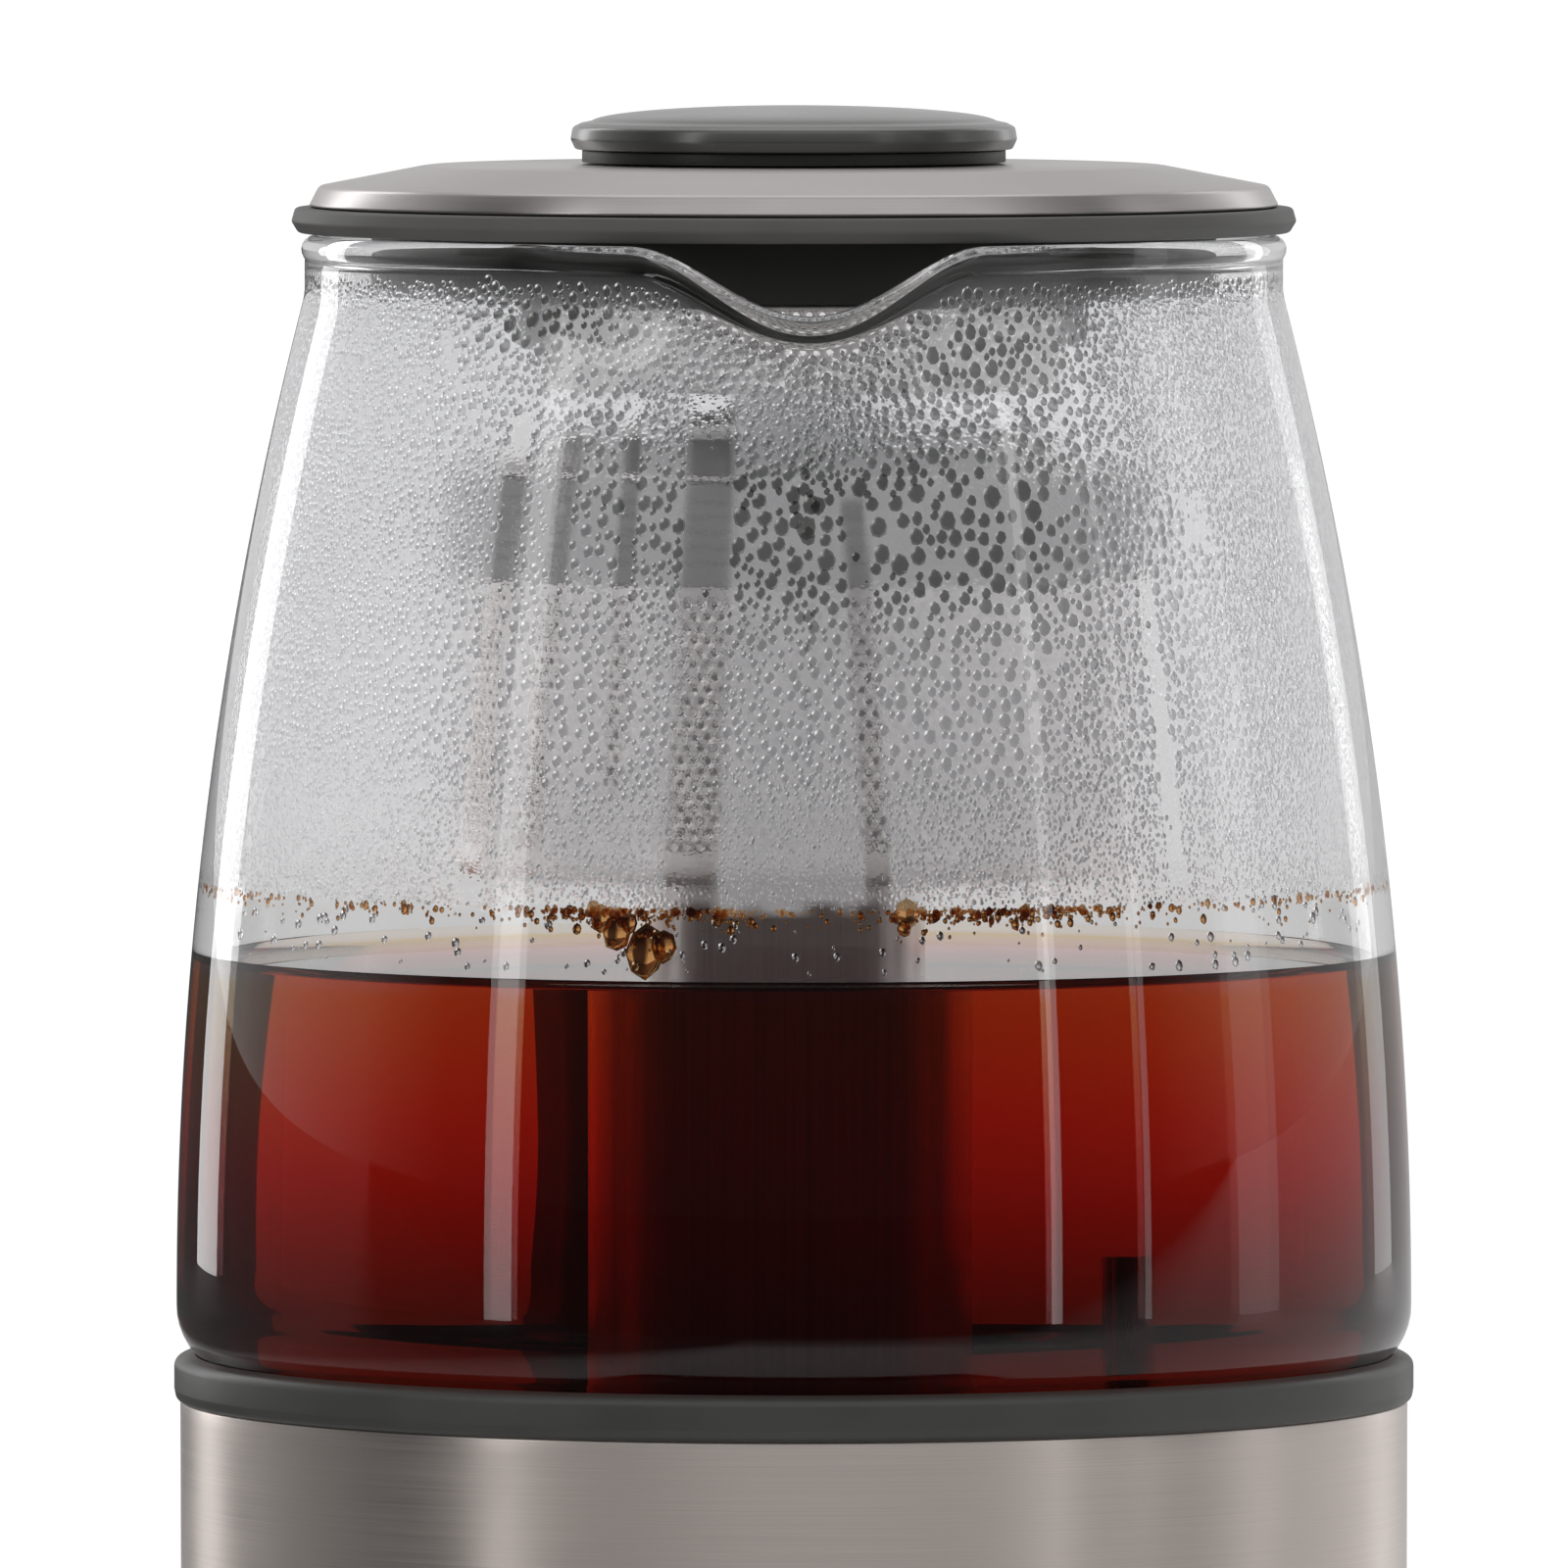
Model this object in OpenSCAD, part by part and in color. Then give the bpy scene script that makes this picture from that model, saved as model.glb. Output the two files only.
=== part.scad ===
// Automatic tea maker: a glass jug with a basket that a magnetic lift lowers into the water,
// on a power base with a sloped control panel. Millimetres, +Z up. The origin is where the
// jug's axis meets the table; the spout and the panel face -Y and the handle +Y.

/* [Jug glass] */
// Largest outside radius of the glass
belly_r = 81.3; // [76:0.1:98]
// Outside radius of the glass at the neck
neck_r = 64.3; // [61:0.1:72]
// Height of the glass from its foot to the rim
glass_h = 152.3; // [140:0.1:190]
// Thickness of the glass wall
glass_wall = 2.8; // [2.2:0.1:3.4]
// Depth of the pouring lip's dip below the rim
lip_depth = 10.5; // [8:0.1:14]
// Half width of the dip at the rim
lip_half_w = 26; // [20:0.5:32]
// Reach of the pouring lip beyond the neck
lip_reach = 9; // [5:0.5:12]

/* [Jug base] */
// Height of the jug's base from its foot to the plastic ring under the glass
jug_base_h = 46.5; // [44:0.1:60]
// Height of the plastic ring under the glass
ring_h = 6.1; // [5:0.1:9]
// Thickness of the steel skirt
skirt_wall = 0.9; // [0.7:0.1:1.2]

/* [Power base] */
// Height of the power base's rim above the table
base_h = 34; // [32:0.5:44]
// Width of the control panel's housing
pod_w = 118; // [108:1:140]
// Reach of the control housing beyond the round base
pod_out = 40; // [39:1:60]
// Tilt of the control panel
panel_tilt = 24; // [18:1:25]
// Thickness of the moulded walls
shell = 2.5; // [2:0.1:3]
// Radius of the supply cord's passage
cord_r = 3.75; // [3:0.05:4.5]

/* [Buttons] */
// Length of the four outer buttons
button_l = 20; // [16:0.5:21]
// Width of every button
button_w = 8; // [6:0.5:9]
// Travel of a button when pressed
button_travel = 1.2; // [0.8:0.1:1.5]

/* [Lift] */
// Width of the lift post
post_w = 38; // [34:0.5:42]
// Depth of the lift post
post_d = 16; // [15:0.5:18]
// Rise of the lead screw's thread in one turn
screw_lead = 20; // [12:1:30]
// Number of teeth on the lead screw's gear
gear_teeth = 32; // [28:2:36]
// Number of teeth on the motor's pinion
pinion_teeth = 16; // [16:1:18]

/* [Basket] */
// Outside radius of the perforated basket
basket_r = 44.5; // [36:0.5:45]
// Depth of the basket below its collar
basket_depth = 38.7; // [32:0.1:40]
// Height of the basket's solid collar
collar_h = 13.6; // [12:0.1:16]
// Rows of holes round the basket
hole_rows = 5; // [3:1:6]
// Holes in each row
holes_round = 20; // [12:1:24]

/* [Lid] */
// Height of the steel lid from its edge to its flat top
lid_rise = 5.7; // [4.5:0.1:8]
// Largest radius of the lid's knob
knob_r = 29.35; // [24:0.05:34]
// Height of the knob above the steel lid
knob_h = 7.4; // [6.5:0.1:11]

/* [Handle] */
// Width of the handle
handle_w = 28; // [24:1:34]
// Space for the fingers between the glass and the grip
finger_gap = 34; // [28:1:42]
// Height of the handle's top above the jug's foot
handle_h = 168; // [145:1:185]

/* [Hidden] */

$fn = 96;

// Colours as the photograph shows them
steel = "#a9a5a2";
grey_plastic = "#3f3f38";
black_plastic = "#1c1c1d";
silicone = "#76736f";
clear_glass = [0.85, 0.9, 0.92, 0.35];
board_green = "#1f5a3a";
copper = "#b87333";
zinc = "#c8c8c4";
magnet_grey = "#8d8d92";

// Named clearances
eps = 0.01;
body_gap = 0.3;
part_gap = 0.15;
screw_gap = 0.05;
running_gap = 0.06;
cut = 1;

// Heights of the power base
foot_h = 2;
floor_t = 3;
floor_top = foot_h + floor_t;
well_depth = 4;
well_z = base_h - well_depth;
ceiling_z = well_z - shell;

// Heights of the jug
swivel_h = 1.5;
jug_z = well_z + swivel_h;
ring_z = jug_z + jug_base_h;
ring_shelf = 1;
glass_z = ring_z + ring_shelf;
plate_lift = 4;
plate_z = ring_z + plate_lift;
plate_t = 1.5;
rim_z = glass_z + glass_h;

// Radii of the jug
skirt_r = belly_r - 0.5;
skirt_in_r = skirt_r - skirt_wall;
ring_r = belly_r + 0.3;
foot_tuck = 2.8;
foot_r = belly_r - foot_tuck;
foot_in_r = foot_r - glass_wall;
seal_w = 2;
plate_r = foot_in_r - seal_w;
neck_in_r = neck_r - glass_wall;
rim_bead_r = 1.9;
rim_out_r = neck_r + 0.45;

// Curve of the glass: an arc upright at the belly that leans in to the neck
belly_up = 11.3;
foot_up = 5.2;
shoulder_up = 8;
neck_up = glass_h - 7.8;
lean = belly_r - neck_r;
arc_rise = neck_up - belly_up;
arc_r = (arc_rise * arc_rise + lean * lean) / (2 * lean);
arc_steps = 12;
function glass_r(up) = belly_r - arc_r + sqrt(arc_r * arc_r - pow(up - belly_up, 2));

// Radii of the power base
well_gap = 1.7;
well_r = ring_r + well_gap;
base_rim = 4.7;
base_r = well_r + base_rim;
pod_reach = base_r + pod_out;
pod_corner = 14;
pod_fillet = 15;
base_edge = 2;

// Control panel: its own frame has v up the slope and w straight out of it
panel_top_y = -base_r - 2;
panel_y = (panel_top_y - pod_reach + base_edge) / 2;
panel_z = base_h + (panel_y - panel_top_y) * tan(panel_tilt);
panel_len = (pod_reach + panel_top_y) / cos(panel_tilt);
bezel_margin = 3.5;
bezel_w = pod_w - 2 * bezel_margin;
bezel_l = panel_len - bezel_margin;
bezel_t = 1.2;
bezel_corner = 9;
window_w = 50;
window_l = bezel_l - button_w - 9.4;
window_v = (bezel_l - window_l) / 2 - 3;
window_corner = 2;
window_ledge = 3;
module_t = 3.5;

// Button places on the panel: across, up the slope, length
outer_x = window_w / 2 + 4 + button_l / 2;
low_v = 3.2 + button_w / 2 - bezel_l / 2;
high_v = window_v;
inner_x = 12.5;
inner_l = 14;
tea_type_at = [-outer_x, high_v, button_l];
strength_at = [outer_x, high_v, button_l];
hot_water_at = [-outer_x, low_v, button_l];
start_at = [outer_x, low_v, button_l];
cooler_at = [-inner_x, low_v, inner_l];
warmer_at = [inner_x, low_v, inner_l];
button_places = [tea_type_at, strength_at, hot_water_at, start_at, cooler_at, warmer_at];
button_proud = 1.5;
button_slot = 0.25;
flange_t = 1;
flange_w = 0.9;
stem_r = 2;
stem_l = 2;
switch_w = 6;
switch_h = 3;
board_t = 1.6;
flange_w_top = -shell - body_gap;
stem_end_w = flange_w_top - flange_t - stem_l;
switch_top_w = stem_end_w - button_travel - body_gap;
board_top_w = switch_top_w - switch_h;
board_l = bezel_l - 6;
board_w = 2 * outer_x + 9;
board_post_r = 1.8;
board_posts = [for (sx = [-1, 1]) for (v = [high_v, low_v]) [sx * (window_w / 2 + 1.2), v]];

// Fasteners
screw_r = 1.5;
screw_head_r = 3;
screw_head_h = 1.6;
short_screw_l = 12;
long_screw_l = 20;
thread_room = 2;
boss_r = 4;
boss_round_r = 0.72 * base_r;
base_boss_places = concat(
  [for (a = [20, 90, 160]) [boss_round_r * cos(a), boss_round_r * sin(a)]],
  [for (s = [-1, 1]) [s * (pod_w / 2 - 6), -pod_reach + 15]]
);

// Heights and places inside the jug's base
bottom_t = 2.5;
bottom_z = jug_z + 2;
bottom_top = bottom_z + bottom_t;
skirt_z = jug_z + 4.5;
connector_r = 17;
socket_top = well_z + 11;
connector_z = socket_top + 2;
connector_t = 3;

// Lift post: an obround tube behind the basket
post_wall = 0.8;
basket_y = -8;
collar_r = basket_r + 1.3;
post_y = basket_y + collar_r + post_d / 2 + 1.2;
post_rise = 125;
post_top = ring_z + post_rise;
post_cap_t = 3.5;
cap_plug_h = 2;
screw_z = ring_z - 19;
journal_r = 3;
thread_r = 4;
thread_root = 3.3;
rod_r = 1.5;
rod_x = 11;
gear_t = 4.5;
gear_z = screw_z + 2;
gear_module = 0.7;
addendum = 0.8 * gear_module;
dedendum = 1.2 * gear_module;
tooth_share = 0.43;
pressure_angle = 20;
gear_r = gear_module * gear_teeth / 2;
pinion_r = gear_module * pinion_teeth / 2;
pinion_y = post_y - gear_r - pinion_r;
motor_r = pinion_y - connector_r - 4.6;
motor_z = bottom_top;
motor_h = gear_z - motor_z - 4;
shaft_r = 1;

// Basket and carriage, drawn in the raised place
collar_z = ring_z + 108.7;
collar_top = collar_z + collar_h;
basket_z = collar_z - basket_depth;
sheet = 0.6;
hole_r = 1.8;
clamp_gap = 0.4;
clamp_wall = 2.4;
carriage_h = collar_h;
carriage_gap = 0.9;
magnet_d = 2;

// Lid, closed
seal_z = rim_z + body_gap;
seal_h = 3.3;
seal_r = rim_out_r + 1.3;
cover_z = seal_z + seal_h + part_gap;
cover_r = seal_r - 2.25;
cover_t = 0.8;
cover_edge_h = 2.5;
cover_top = cover_z + lid_rise;
plug_r = neck_in_r - 6;
plug_z = rim_z - 7.8;
plug_wall = 2;
flange_r = seal_r - 4;
flange_z = seal_z + 1;
flange_h = 1.5;
strainer_h = 11.5;
strainer_r = plug_r - 1;
strainer_half = 38;
knob_z = cover_top + 0.1;
knob_foot_r = knob_r - 1.45;
basket_lid_r = basket_r - sheet - 1.2;

// Handle
handle_in_y = belly_r + finger_gap;
handle_t = 19;
handle_low = jug_z + 5;
handle_arm = 22;
handle_top = jug_z + handle_h;
handle_nose = 20;
grip_t = 3;
grip_inset = 4;
bracket_t = 3;
bracket_w = handle_w - 6;

// Obround outline: l across, w deep
module obround(l, w) {
  square([l - w, w], center = true);
  for (s = [-1, 1]) translate([s * (l - w) / 2, 0]) circle(d = w);
}

// Points along an arc round (cx, cy) from the angle a0 to a1, in n steps
function arc(cx, cy, r, a0, a1, n) =
  [for (i = [0 : n]) let (a = a0 + (a1 - a0) * i / n) [cx + r * cos(a), cy + r * sin(a)]];

// Rectangle with round corners
module round_rect(l, w, r) {
  x = l / 2 - r;
  y = w / 2 - r;
  polygon(concat(
    arc(x, y, r, 0, 90, 6), arc(-x, y, r, 90, 180, 6),
    arc(-x, -y, r, 180, 270, 6), arc(x, -y, r, 270, 360, 6)
  ));
}

// Ring between two radii
module ring(r_in, r_out, z, h) {
  translate([0, 0, z]) difference() {
    cylinder(h = h, r = r_out);
    translate([0, 0, -cut]) cylinder(h = h + 2 * cut, r = r_in);
  }
}

// Puts its children on the control panel's plane
module on_panel(w = 0) {
  translate([0, panel_y, panel_z]) rotate([panel_tilt, 0, 0]) translate([0, 0, w]) children();
}

// Base outline seen from above, drawn in by the distance t
module base_outline(t) {
  half = pod_w / 2 - t;
  r = pod_corner - t;
  f = pod_fillet + t;
  fillet_x = pod_w / 2 + pod_fillet;
  fillet_y = -sqrt(pow(base_r + pod_fillet, 2) - pow(fillet_x, 2));
  circle(base_r - t);
  translate([-half, -pod_reach + t + r]) square([2 * half, pod_reach - t - r]);
  translate([-half + r, -pod_reach + t]) square([2 * (half - r), pod_reach]);
  for (s = [-1, 1]) {
    translate([s * (half - r), -pod_reach + t + r]) circle(r);
    difference() {
      polygon([[0, 0], [s * half, fillet_y], [s * fillet_x, fillet_y]]);
      translate([s * fillet_x, fillet_y]) circle(f);
    }
  }
}

// Block under the sloped panel and the flat rim, drawn in by t, between two heights
module base_height(t, low, top) {
  slope_drop = t / cos(panel_tilt);
  reach = pod_reach + cut;
  corner_y = panel_top_y + (slope_drop - base_h + top) / tan(panel_tilt);
  rotate([90, 0, 90]) linear_extrude(height = 2 * (base_r + pod_w), center = true)
    polygon([
      [-reach, low], [base_r + cut, low], [base_r + cut, top],
      [corner_y, top],
      [-reach, base_h - slope_drop + (-reach - panel_top_y) * tan(panel_tilt)]
    ]);
}

module base_outer() {
  intersection() {
    translate([0, 0, foot_h]) linear_extrude(height = base_h) base_outline(0);
    base_height(0, foot_h, base_h);
  }
}

module base_cavity() {
  intersection() {
    translate([0, 0, foot_h - cut]) linear_extrude(height = base_h) base_outline(shell);
    union() {
      base_height(shell, foot_h - cut, ceiling_z);
      difference() {
        base_height(shell, foot_h - cut, base_h - shell);
        cylinder(h = base_h, r = well_r + shell);
      }
    }
  }
}

module base_housing() {
  color(steel) difference() {
    union() {
      difference() {
        base_outer();
        base_cavity();
      }
      for (p = base_boss_places) intersection() {
        translate([p[0], p[1], floor_top]) cylinder(h = base_h, r = boss_r);
        base_outer();
      }
      for (p = board_posts) on_panel(board_top_w) translate([p[0], p[1], 0])
        cylinder(h = -board_top_w - shell / 2, r = board_post_r);
    }
    translate([0, 0, well_z]) cylinder(h = well_depth + cut, r = well_r);
    translate([0, 0, ceiling_z - cut]) cylinder(h = 2 * shell + cut, r = connector_r + part_gap);
    on_panel(-bezel_t) linear_extrude(height = bezel_t + cut)
      round_rect(bezel_w + 2 * part_gap, bezel_l + 2 * part_gap, bezel_corner);
    on_panel(-shell - cut) translate([0, window_v, 0]) linear_extrude(height = shell + cut)
      square([window_w - 2 * window_ledge, window_l - window_ledge], center = true);
    for (b = button_places) on_panel(-shell - cut) translate([b[0], b[1], 0])
      linear_extrude(height = shell + cut) obround(b[2] + 2 * button_slot, button_w + 2 * button_slot);
    for (p = base_boss_places) translate([p[0], p[1], foot_h])
      cylinder(h = short_screw_l + thread_room, r = screw_r + screw_gap);
    translate([0, base_r + cut, gland_z]) rotate([90, 0, 0])
      cylinder(h = shell + 2 * cut, r = gland_r + part_gap);
  }
}

pillar_r = 3;
pillar_x = 22;
pillar_y = 14;
module base_floor() {
  color(black_plastic) difference() {
    union() {
      translate([0, 0, foot_h]) linear_extrude(height = floor_t) base_outline(shell + part_gap);
      for (x = [-1, 1], y = [-1, 1])
        translate([x * pillar_x, power_board_y + y * pillar_y, floor_top - eps])
          cylinder(h = power_board_up + eps, r = pillar_r);
      translate([0, 0, floor_top - eps]) difference() {
        cylinder(h = socket_z - floor_top - part_gap + eps, r = connector_r + 2);
        translate([0, 0, eps]) cylinder(h = base_h, r = connector_r - 1);
      }
    }
    for (p = base_boss_places) translate([p[0], p[1], foot_h - cut]) {
      cylinder(h = floor_t + 2 * cut, r = screw_r + part_gap);
      cylinder(h = cut + screw_head_h + 0.2, r = screw_head_r + part_gap);
    }
  }
}

module base_screws() {
  color(zinc) for (p = base_boss_places) translate([p[0], p[1], foot_h + 0.2]) {
    cylinder(h = screw_head_h, r = screw_head_r);
    cylinder(h = short_screw_l, r = screw_r);
  }
}

foot_ring_r = base_r - 11;
foot_ring_w = 7;
module base_feet() {
  color(black_plastic) {
    ring(foot_ring_r - foot_ring_w, foot_ring_r, 0, foot_h);
    for (s = [-1, 1]) translate([s * (pod_w / 2 - 17), -pod_reach + 27, 0])
      cylinder(h = foot_h, r = 6);
  }
}

module control_bezel() {
  color(black_plastic) on_panel(-bezel_t) linear_extrude(height = bezel_t) difference() {
    round_rect(bezel_w, bezel_l, bezel_corner);
    translate([0, window_v]) round_rect(window_w, window_l, window_corner);
    for (b = button_places) translate([b[0], b[1]])
      obround(b[2] + 2 * button_slot, button_w + 2 * button_slot);
  }
}

module display_window() {
  color([0.1, 0.12, 0.14, 0.8]) on_panel(-bezel_t) translate([0, window_v, 0])
    linear_extrude(height = bezel_t)
      round_rect(window_w - 2 * part_gap, window_l - 2 * part_gap, window_corner);
}

module display_module() {
  color("#26384a") on_panel(-shell - part_gap - module_t) translate([0, window_v, 0])
    linear_extrude(height = module_t)
      square([window_w - 3, window_l - 0.8], center = true);
}

module control_board() {
  color(board_green) on_panel(board_top_w - board_t) linear_extrude(height = board_t)
    square([board_w, board_l], center = true);
}

module button_switches() {
  color(zinc) for (b = button_places) on_panel(board_top_w) translate([b[0], b[1], switch_h / 2]) {
    cube([switch_w, switch_w, switch_h], center = true);
  }
}

module panel_button(at) {
  color(grey_plastic) on_panel() translate([at[0], at[1], 0]) {
    translate([0, 0, flange_w_top]) linear_extrude(height = button_proud - flange_w_top)
      obround(at[2], button_w);
    translate([0, 0, flange_w_top - flange_t]) linear_extrude(height = flange_t)
      obround(at[2] + 2 * flange_w, button_w + 2 * flange_w);
    translate([0, 0, stem_end_w]) cylinder(h = stem_l + eps, r = stem_r);
  }
}

module button_tea_type() { panel_button(tea_type_at); }
module button_strength() { panel_button(strength_at); }
module button_hot_water() { panel_button(hot_water_at); }
module button_start() { panel_button(start_at); }
module button_cooler() { panel_button(cooler_at); }
module button_warmer() { panel_button(warmer_at); }

// Socket in the well: a post with round contact grooves, so the jug can stand any way round
contact_grooves = [[6.2, 8.6], [11.2, 13.6]];
socket_hole_r = 3.4;
socket_collar_h = 3;
socket_collar_r = connector_r + 3;
socket_z = ceiling_z - socket_collar_h;
groove_z = well_z + 1;
contact_t = 0.8;
module socket_body() {
  color(black_plastic) difference() {
    union() {
      translate([0, 0, socket_z]) cylinder(h = socket_top - socket_z, r = connector_r);
      translate([0, 0, socket_z]) cylinder(h = socket_collar_h, r = socket_collar_r);
    }
    translate([0, 0, groove_z]) cylinder(h = socket_top, r = socket_hole_r);
    for (g = contact_grooves) ring(g[0], g[1], groove_z, socket_top);
  }
}

module socket_contacts() {
  color(copper) {
    translate([0, 0, groove_z]) cylinder(h = contact_t, r = socket_hole_r - part_gap);
    for (g = contact_grooves) ring(g[0] + part_gap, g[1] - part_gap, groove_z, contact_t);
  }
}

power_board_up = 4;
power_board_l = 56;
power_board_w = 36;
power_board_y = 38;
transformer_w = 20;
transformer_h = 11;
relay_l = 18;
relay_w = 12;
relay_h = 10;
capacitor_r = 4;
capacitor_h = 10;
module power_board() {
  color(board_green) translate([0, power_board_y, floor_top + power_board_up]) {
    translate([-power_board_l / 2, -power_board_w / 2, 0]) cube([power_board_l, power_board_w, board_t]);
    translate([-transformer_w - 2, -transformer_w / 2, board_t])
      cube([transformer_w, transformer_w, transformer_h]);
    translate([4, -8, board_t]) cube([relay_l, relay_w, relay_h]);
    translate([8, 10, board_t]) cylinder(h = capacitor_h, r = capacitor_r);
  }
}

gland_z = foot_h + 13;
gland_r = cord_r + 2.2;
gland_l = 12;
gland_collar_r = gland_r + 2;
gland_collar_l = 4;
module cord_gland() {
  color(black_plastic) translate([0, base_r, gland_z]) rotate([90, 0, 0]) difference() {
    translate([0, 0, -gland_collar_l]) {
      cylinder(h = gland_l, r = gland_r);
      cylinder(h = gland_collar_l - part_gap, r = gland_collar_r);
    }
    translate([0, 0, -gland_collar_l - cut]) cylinder(h = gland_l + 2 * cut, r = cord_r);
  }
}

module swivel_ring() {
  color(zinc) ring(skirt_r - 9.5, skirt_r - 2.5, well_z, swivel_h);
}

module jug_skirt() {
  color(steel) difference() {
    ring(skirt_in_r, skirt_r, skirt_z, ring_z - skirt_z);
    handle_screw_holes(screw_r + part_gap, 2 * cut + skirt_wall);
  }
}

// Bottom moulding of the jug, with the foot ring and the hollow round the connector
cup_r = connector_r + 1.6;
module jug_bottom() {
  lip_r = skirt_in_r - part_gap;
  color(black_plastic) difference() {
    rotate_extrude() polygon([
      [cup_r, bottom_z], [skirt_r - 9.5, bottom_z], [skirt_r - 9.5, jug_z],
      [skirt_r - 0.8, jug_z], [skirt_r - 0.2, jug_z + 0.6], [skirt_r - 0.2, skirt_z],
      [lip_r, skirt_z], [lip_r, skirt_z + 6], [lip_r - 2, skirt_z + 6],
      [lip_r - 2, bottom_top], [cup_r + 2, bottom_top], [cup_r + 2, connector_z],
      [cup_r, connector_z]
    ]);
    for (p = jug_screw_places) translate([p[0], p[1], bottom_z - cut])
      cylinder(h = bottom_t + 2 * cut, r = screw_r + part_gap);
  }
}

jug_screw_places = [for (a = [30 : 120 : 270]) [0.84 * skirt_r * cos(a), 0.84 * skirt_r * sin(a)]];
module jug_bottom_screws() {
  color(zinc) for (p = jug_screw_places) translate([p[0], p[1], bottom_z - screw_head_h]) {
    cylinder(h = screw_head_h, r = screw_head_r);
    cylinder(h = short_screw_l, r = screw_r);
  }
}

// Plastic ring that holds the foot of the glass; its posts take the bottom screws
module glass_ring() {
  shelf_r = plate_r - 3.5;
  edge = 0.7;
  color(grey_plastic) {
    rotate_extrude() polygon([
      [shelf_r, ring_z], [ring_r - edge, ring_z], [ring_r, ring_z + edge],
      [ring_r, ring_z + ring_h - edge], [ring_r - edge, ring_z + ring_h],
      [foot_r + part_gap, ring_z + ring_h], [foot_r + part_gap, glass_z], [shelf_r, glass_z]
    ]);
    for (p = jug_screw_places) translate([p[0], p[1], 0]) difference() {
      translate([0, 0, bottom_top]) cylinder(h = ring_z - bottom_top + eps, r = boss_r);
      translate([0, 0, bottom_top - cut]) cylinder(h = short_screw_l, r = screw_r + screw_gap);
    }
  }
}

// Solid of revolution inside the glass's outer face, drawn in by t
function wall_points(t) = concat(
  [[foot_r - t, foot_up]],
  [[belly_r - 0.4 - t, shoulder_up]],
  [for (i = [0 : arc_steps]) let (up = belly_up + arc_rise * i / arc_steps) [glass_r(up) - t, up]],
  [[neck_r - 0.2 - t, glass_h - 4.4]]
);

module glass_solid(t, low, high) {
  rotate_extrude() polygon(concat(
    [[0, low], [foot_r - t, low]], wall_points(t),
    [[neck_r - 0.2 - t, high], [0, high]]
  ));
}

// Channel of the pouring lip: a leaning cone that runs out of the glass wall
lip_tilt = 26;
lip_cone_h = 44;
lip_spread = 34;
lip_tip_r = 0.8;
module lip_cone(t) {
  tip_up = glass_h - 30;
  tip_y = glass_r(tip_up) - 1;
  translate([0, -tip_y, tip_up]) rotate([-lip_tilt, 0, 0])
    translate([0, 0, t * 1.2])
      cylinder(h = lip_cone_h, r1 = lip_tip_r, r2 = lip_tip_r + lip_cone_h * tan(lip_spread) - t);
}

// Dip in the rim over the channel, with a round bottom and soft shoulders
module lip_dip() {
  steps = 8;
  function dip(x) = lip_depth * pow(cos(90 * min(1, abs(x) / lip_half_w)), 1.6);
  rotate([90, 0, 0]) linear_extrude(height = 2 * belly_r) polygon(concat(
    [for (i = [-steps : steps]) let (x = lip_half_w * i / steps) [x, glass_h - dip(x)]],
    [[lip_half_w, glass_h + cut], [-lip_half_w, glass_h + cut]]
  ));
}

module glass_jug() {
  color(clear_glass) translate([0, 0, glass_z]) difference() {
    union() {
      glass_solid(0, 0, glass_h - rim_bead_r);
      rotate_extrude() translate([rim_out_r - rim_bead_r, glass_h - rim_bead_r]) circle(rim_bead_r);
      intersection() {
        lip_cone(0);
        cylinder(h = glass_h, r = neck_r + lip_reach);
      }
    }
    glass_solid(glass_wall, -cut, glass_h + cut);
    lip_cone(glass_wall);
    lip_dip();
  }
}

module plate_seal() {
  color(silicone) ring(plate_r, foot_in_r, glass_z, plate_lift - ring_shelf + 1);
}

module heating_plate() {
  color(steel) difference() {
    rotate_extrude() polygon([
      [0, plate_z - plate_t], [plate_r - 1.2, plate_z - plate_t], [plate_r - 1.2, glass_z],
      [plate_r, glass_z], [plate_r, plate_z], [0, plate_z]
    ]);
    translate([0, post_y, plate_z - plate_t - cut]) linear_extrude(height = plate_t + 2 * cut)
      obround(post_w - 2 * post_wall - 2, post_d - 2 * post_wall - 2);
    translate([probe_at[0], probe_at[1], plate_z - plate_t - cut])
      cylinder(h = plate_t + 2 * cut, r = probe_r + screw_gap);
  }
}

// Tubular element brazed under the plate, open at the back
element_r = 3.6;
element_ring_r = 46;
module heating_element() {
  color(zinc) translate([0, 0, plate_z - plate_t - element_r - 0.05])
    rotate([0, 0, 130]) rotate_extrude(angle = 280) translate([element_ring_r, 0]) circle(element_r);
}

module thermal_cutout() {
  color(black_plastic) translate([0, -20, plate_z - plate_t - 5]) {
    cylinder(h = 5, r = 8);
    for (s = [-1, 1]) translate([s * 4 - 1.5, -0.4, -5]) cube([3, 0.8, 5 + eps]);
  }
}

probe_at = [34, 46];
probe_r = 2.5;
module temperature_probe() {
  color(steel) translate([probe_at[0], probe_at[1], plate_z - plate_t - 6]) {
    cylinder(h = 6, r = probe_r + 2);
    cylinder(h = 20, r = probe_r);
  }
}

// Plug of the jug: ring blades that enter the socket's grooves at any angle
module jug_connector() {
  blade_end = groove_z + 2.5;
  color(black_plastic) {
    translate([0, 0, connector_z]) cylinder(h = connector_t, r = cup_r + 1.8);
    for (g = contact_grooves)
      ring((g[0] + g[1]) / 2 - 0.4, (g[0] + g[1]) / 2 + 0.4, blade_end, connector_z - blade_end + eps);
    translate([0, 0, blade_end]) cylinder(h = connector_z - blade_end + eps, r = 2.6);
  }
}

module post_tube() {
  color(steel) translate([0, post_y, plate_z]) linear_extrude(height = post_top - plate_z)
    difference() {
      obround(post_w, post_d);
      obround(post_w - 2 * post_wall, post_d - 2 * post_wall);
    }
}

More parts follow.
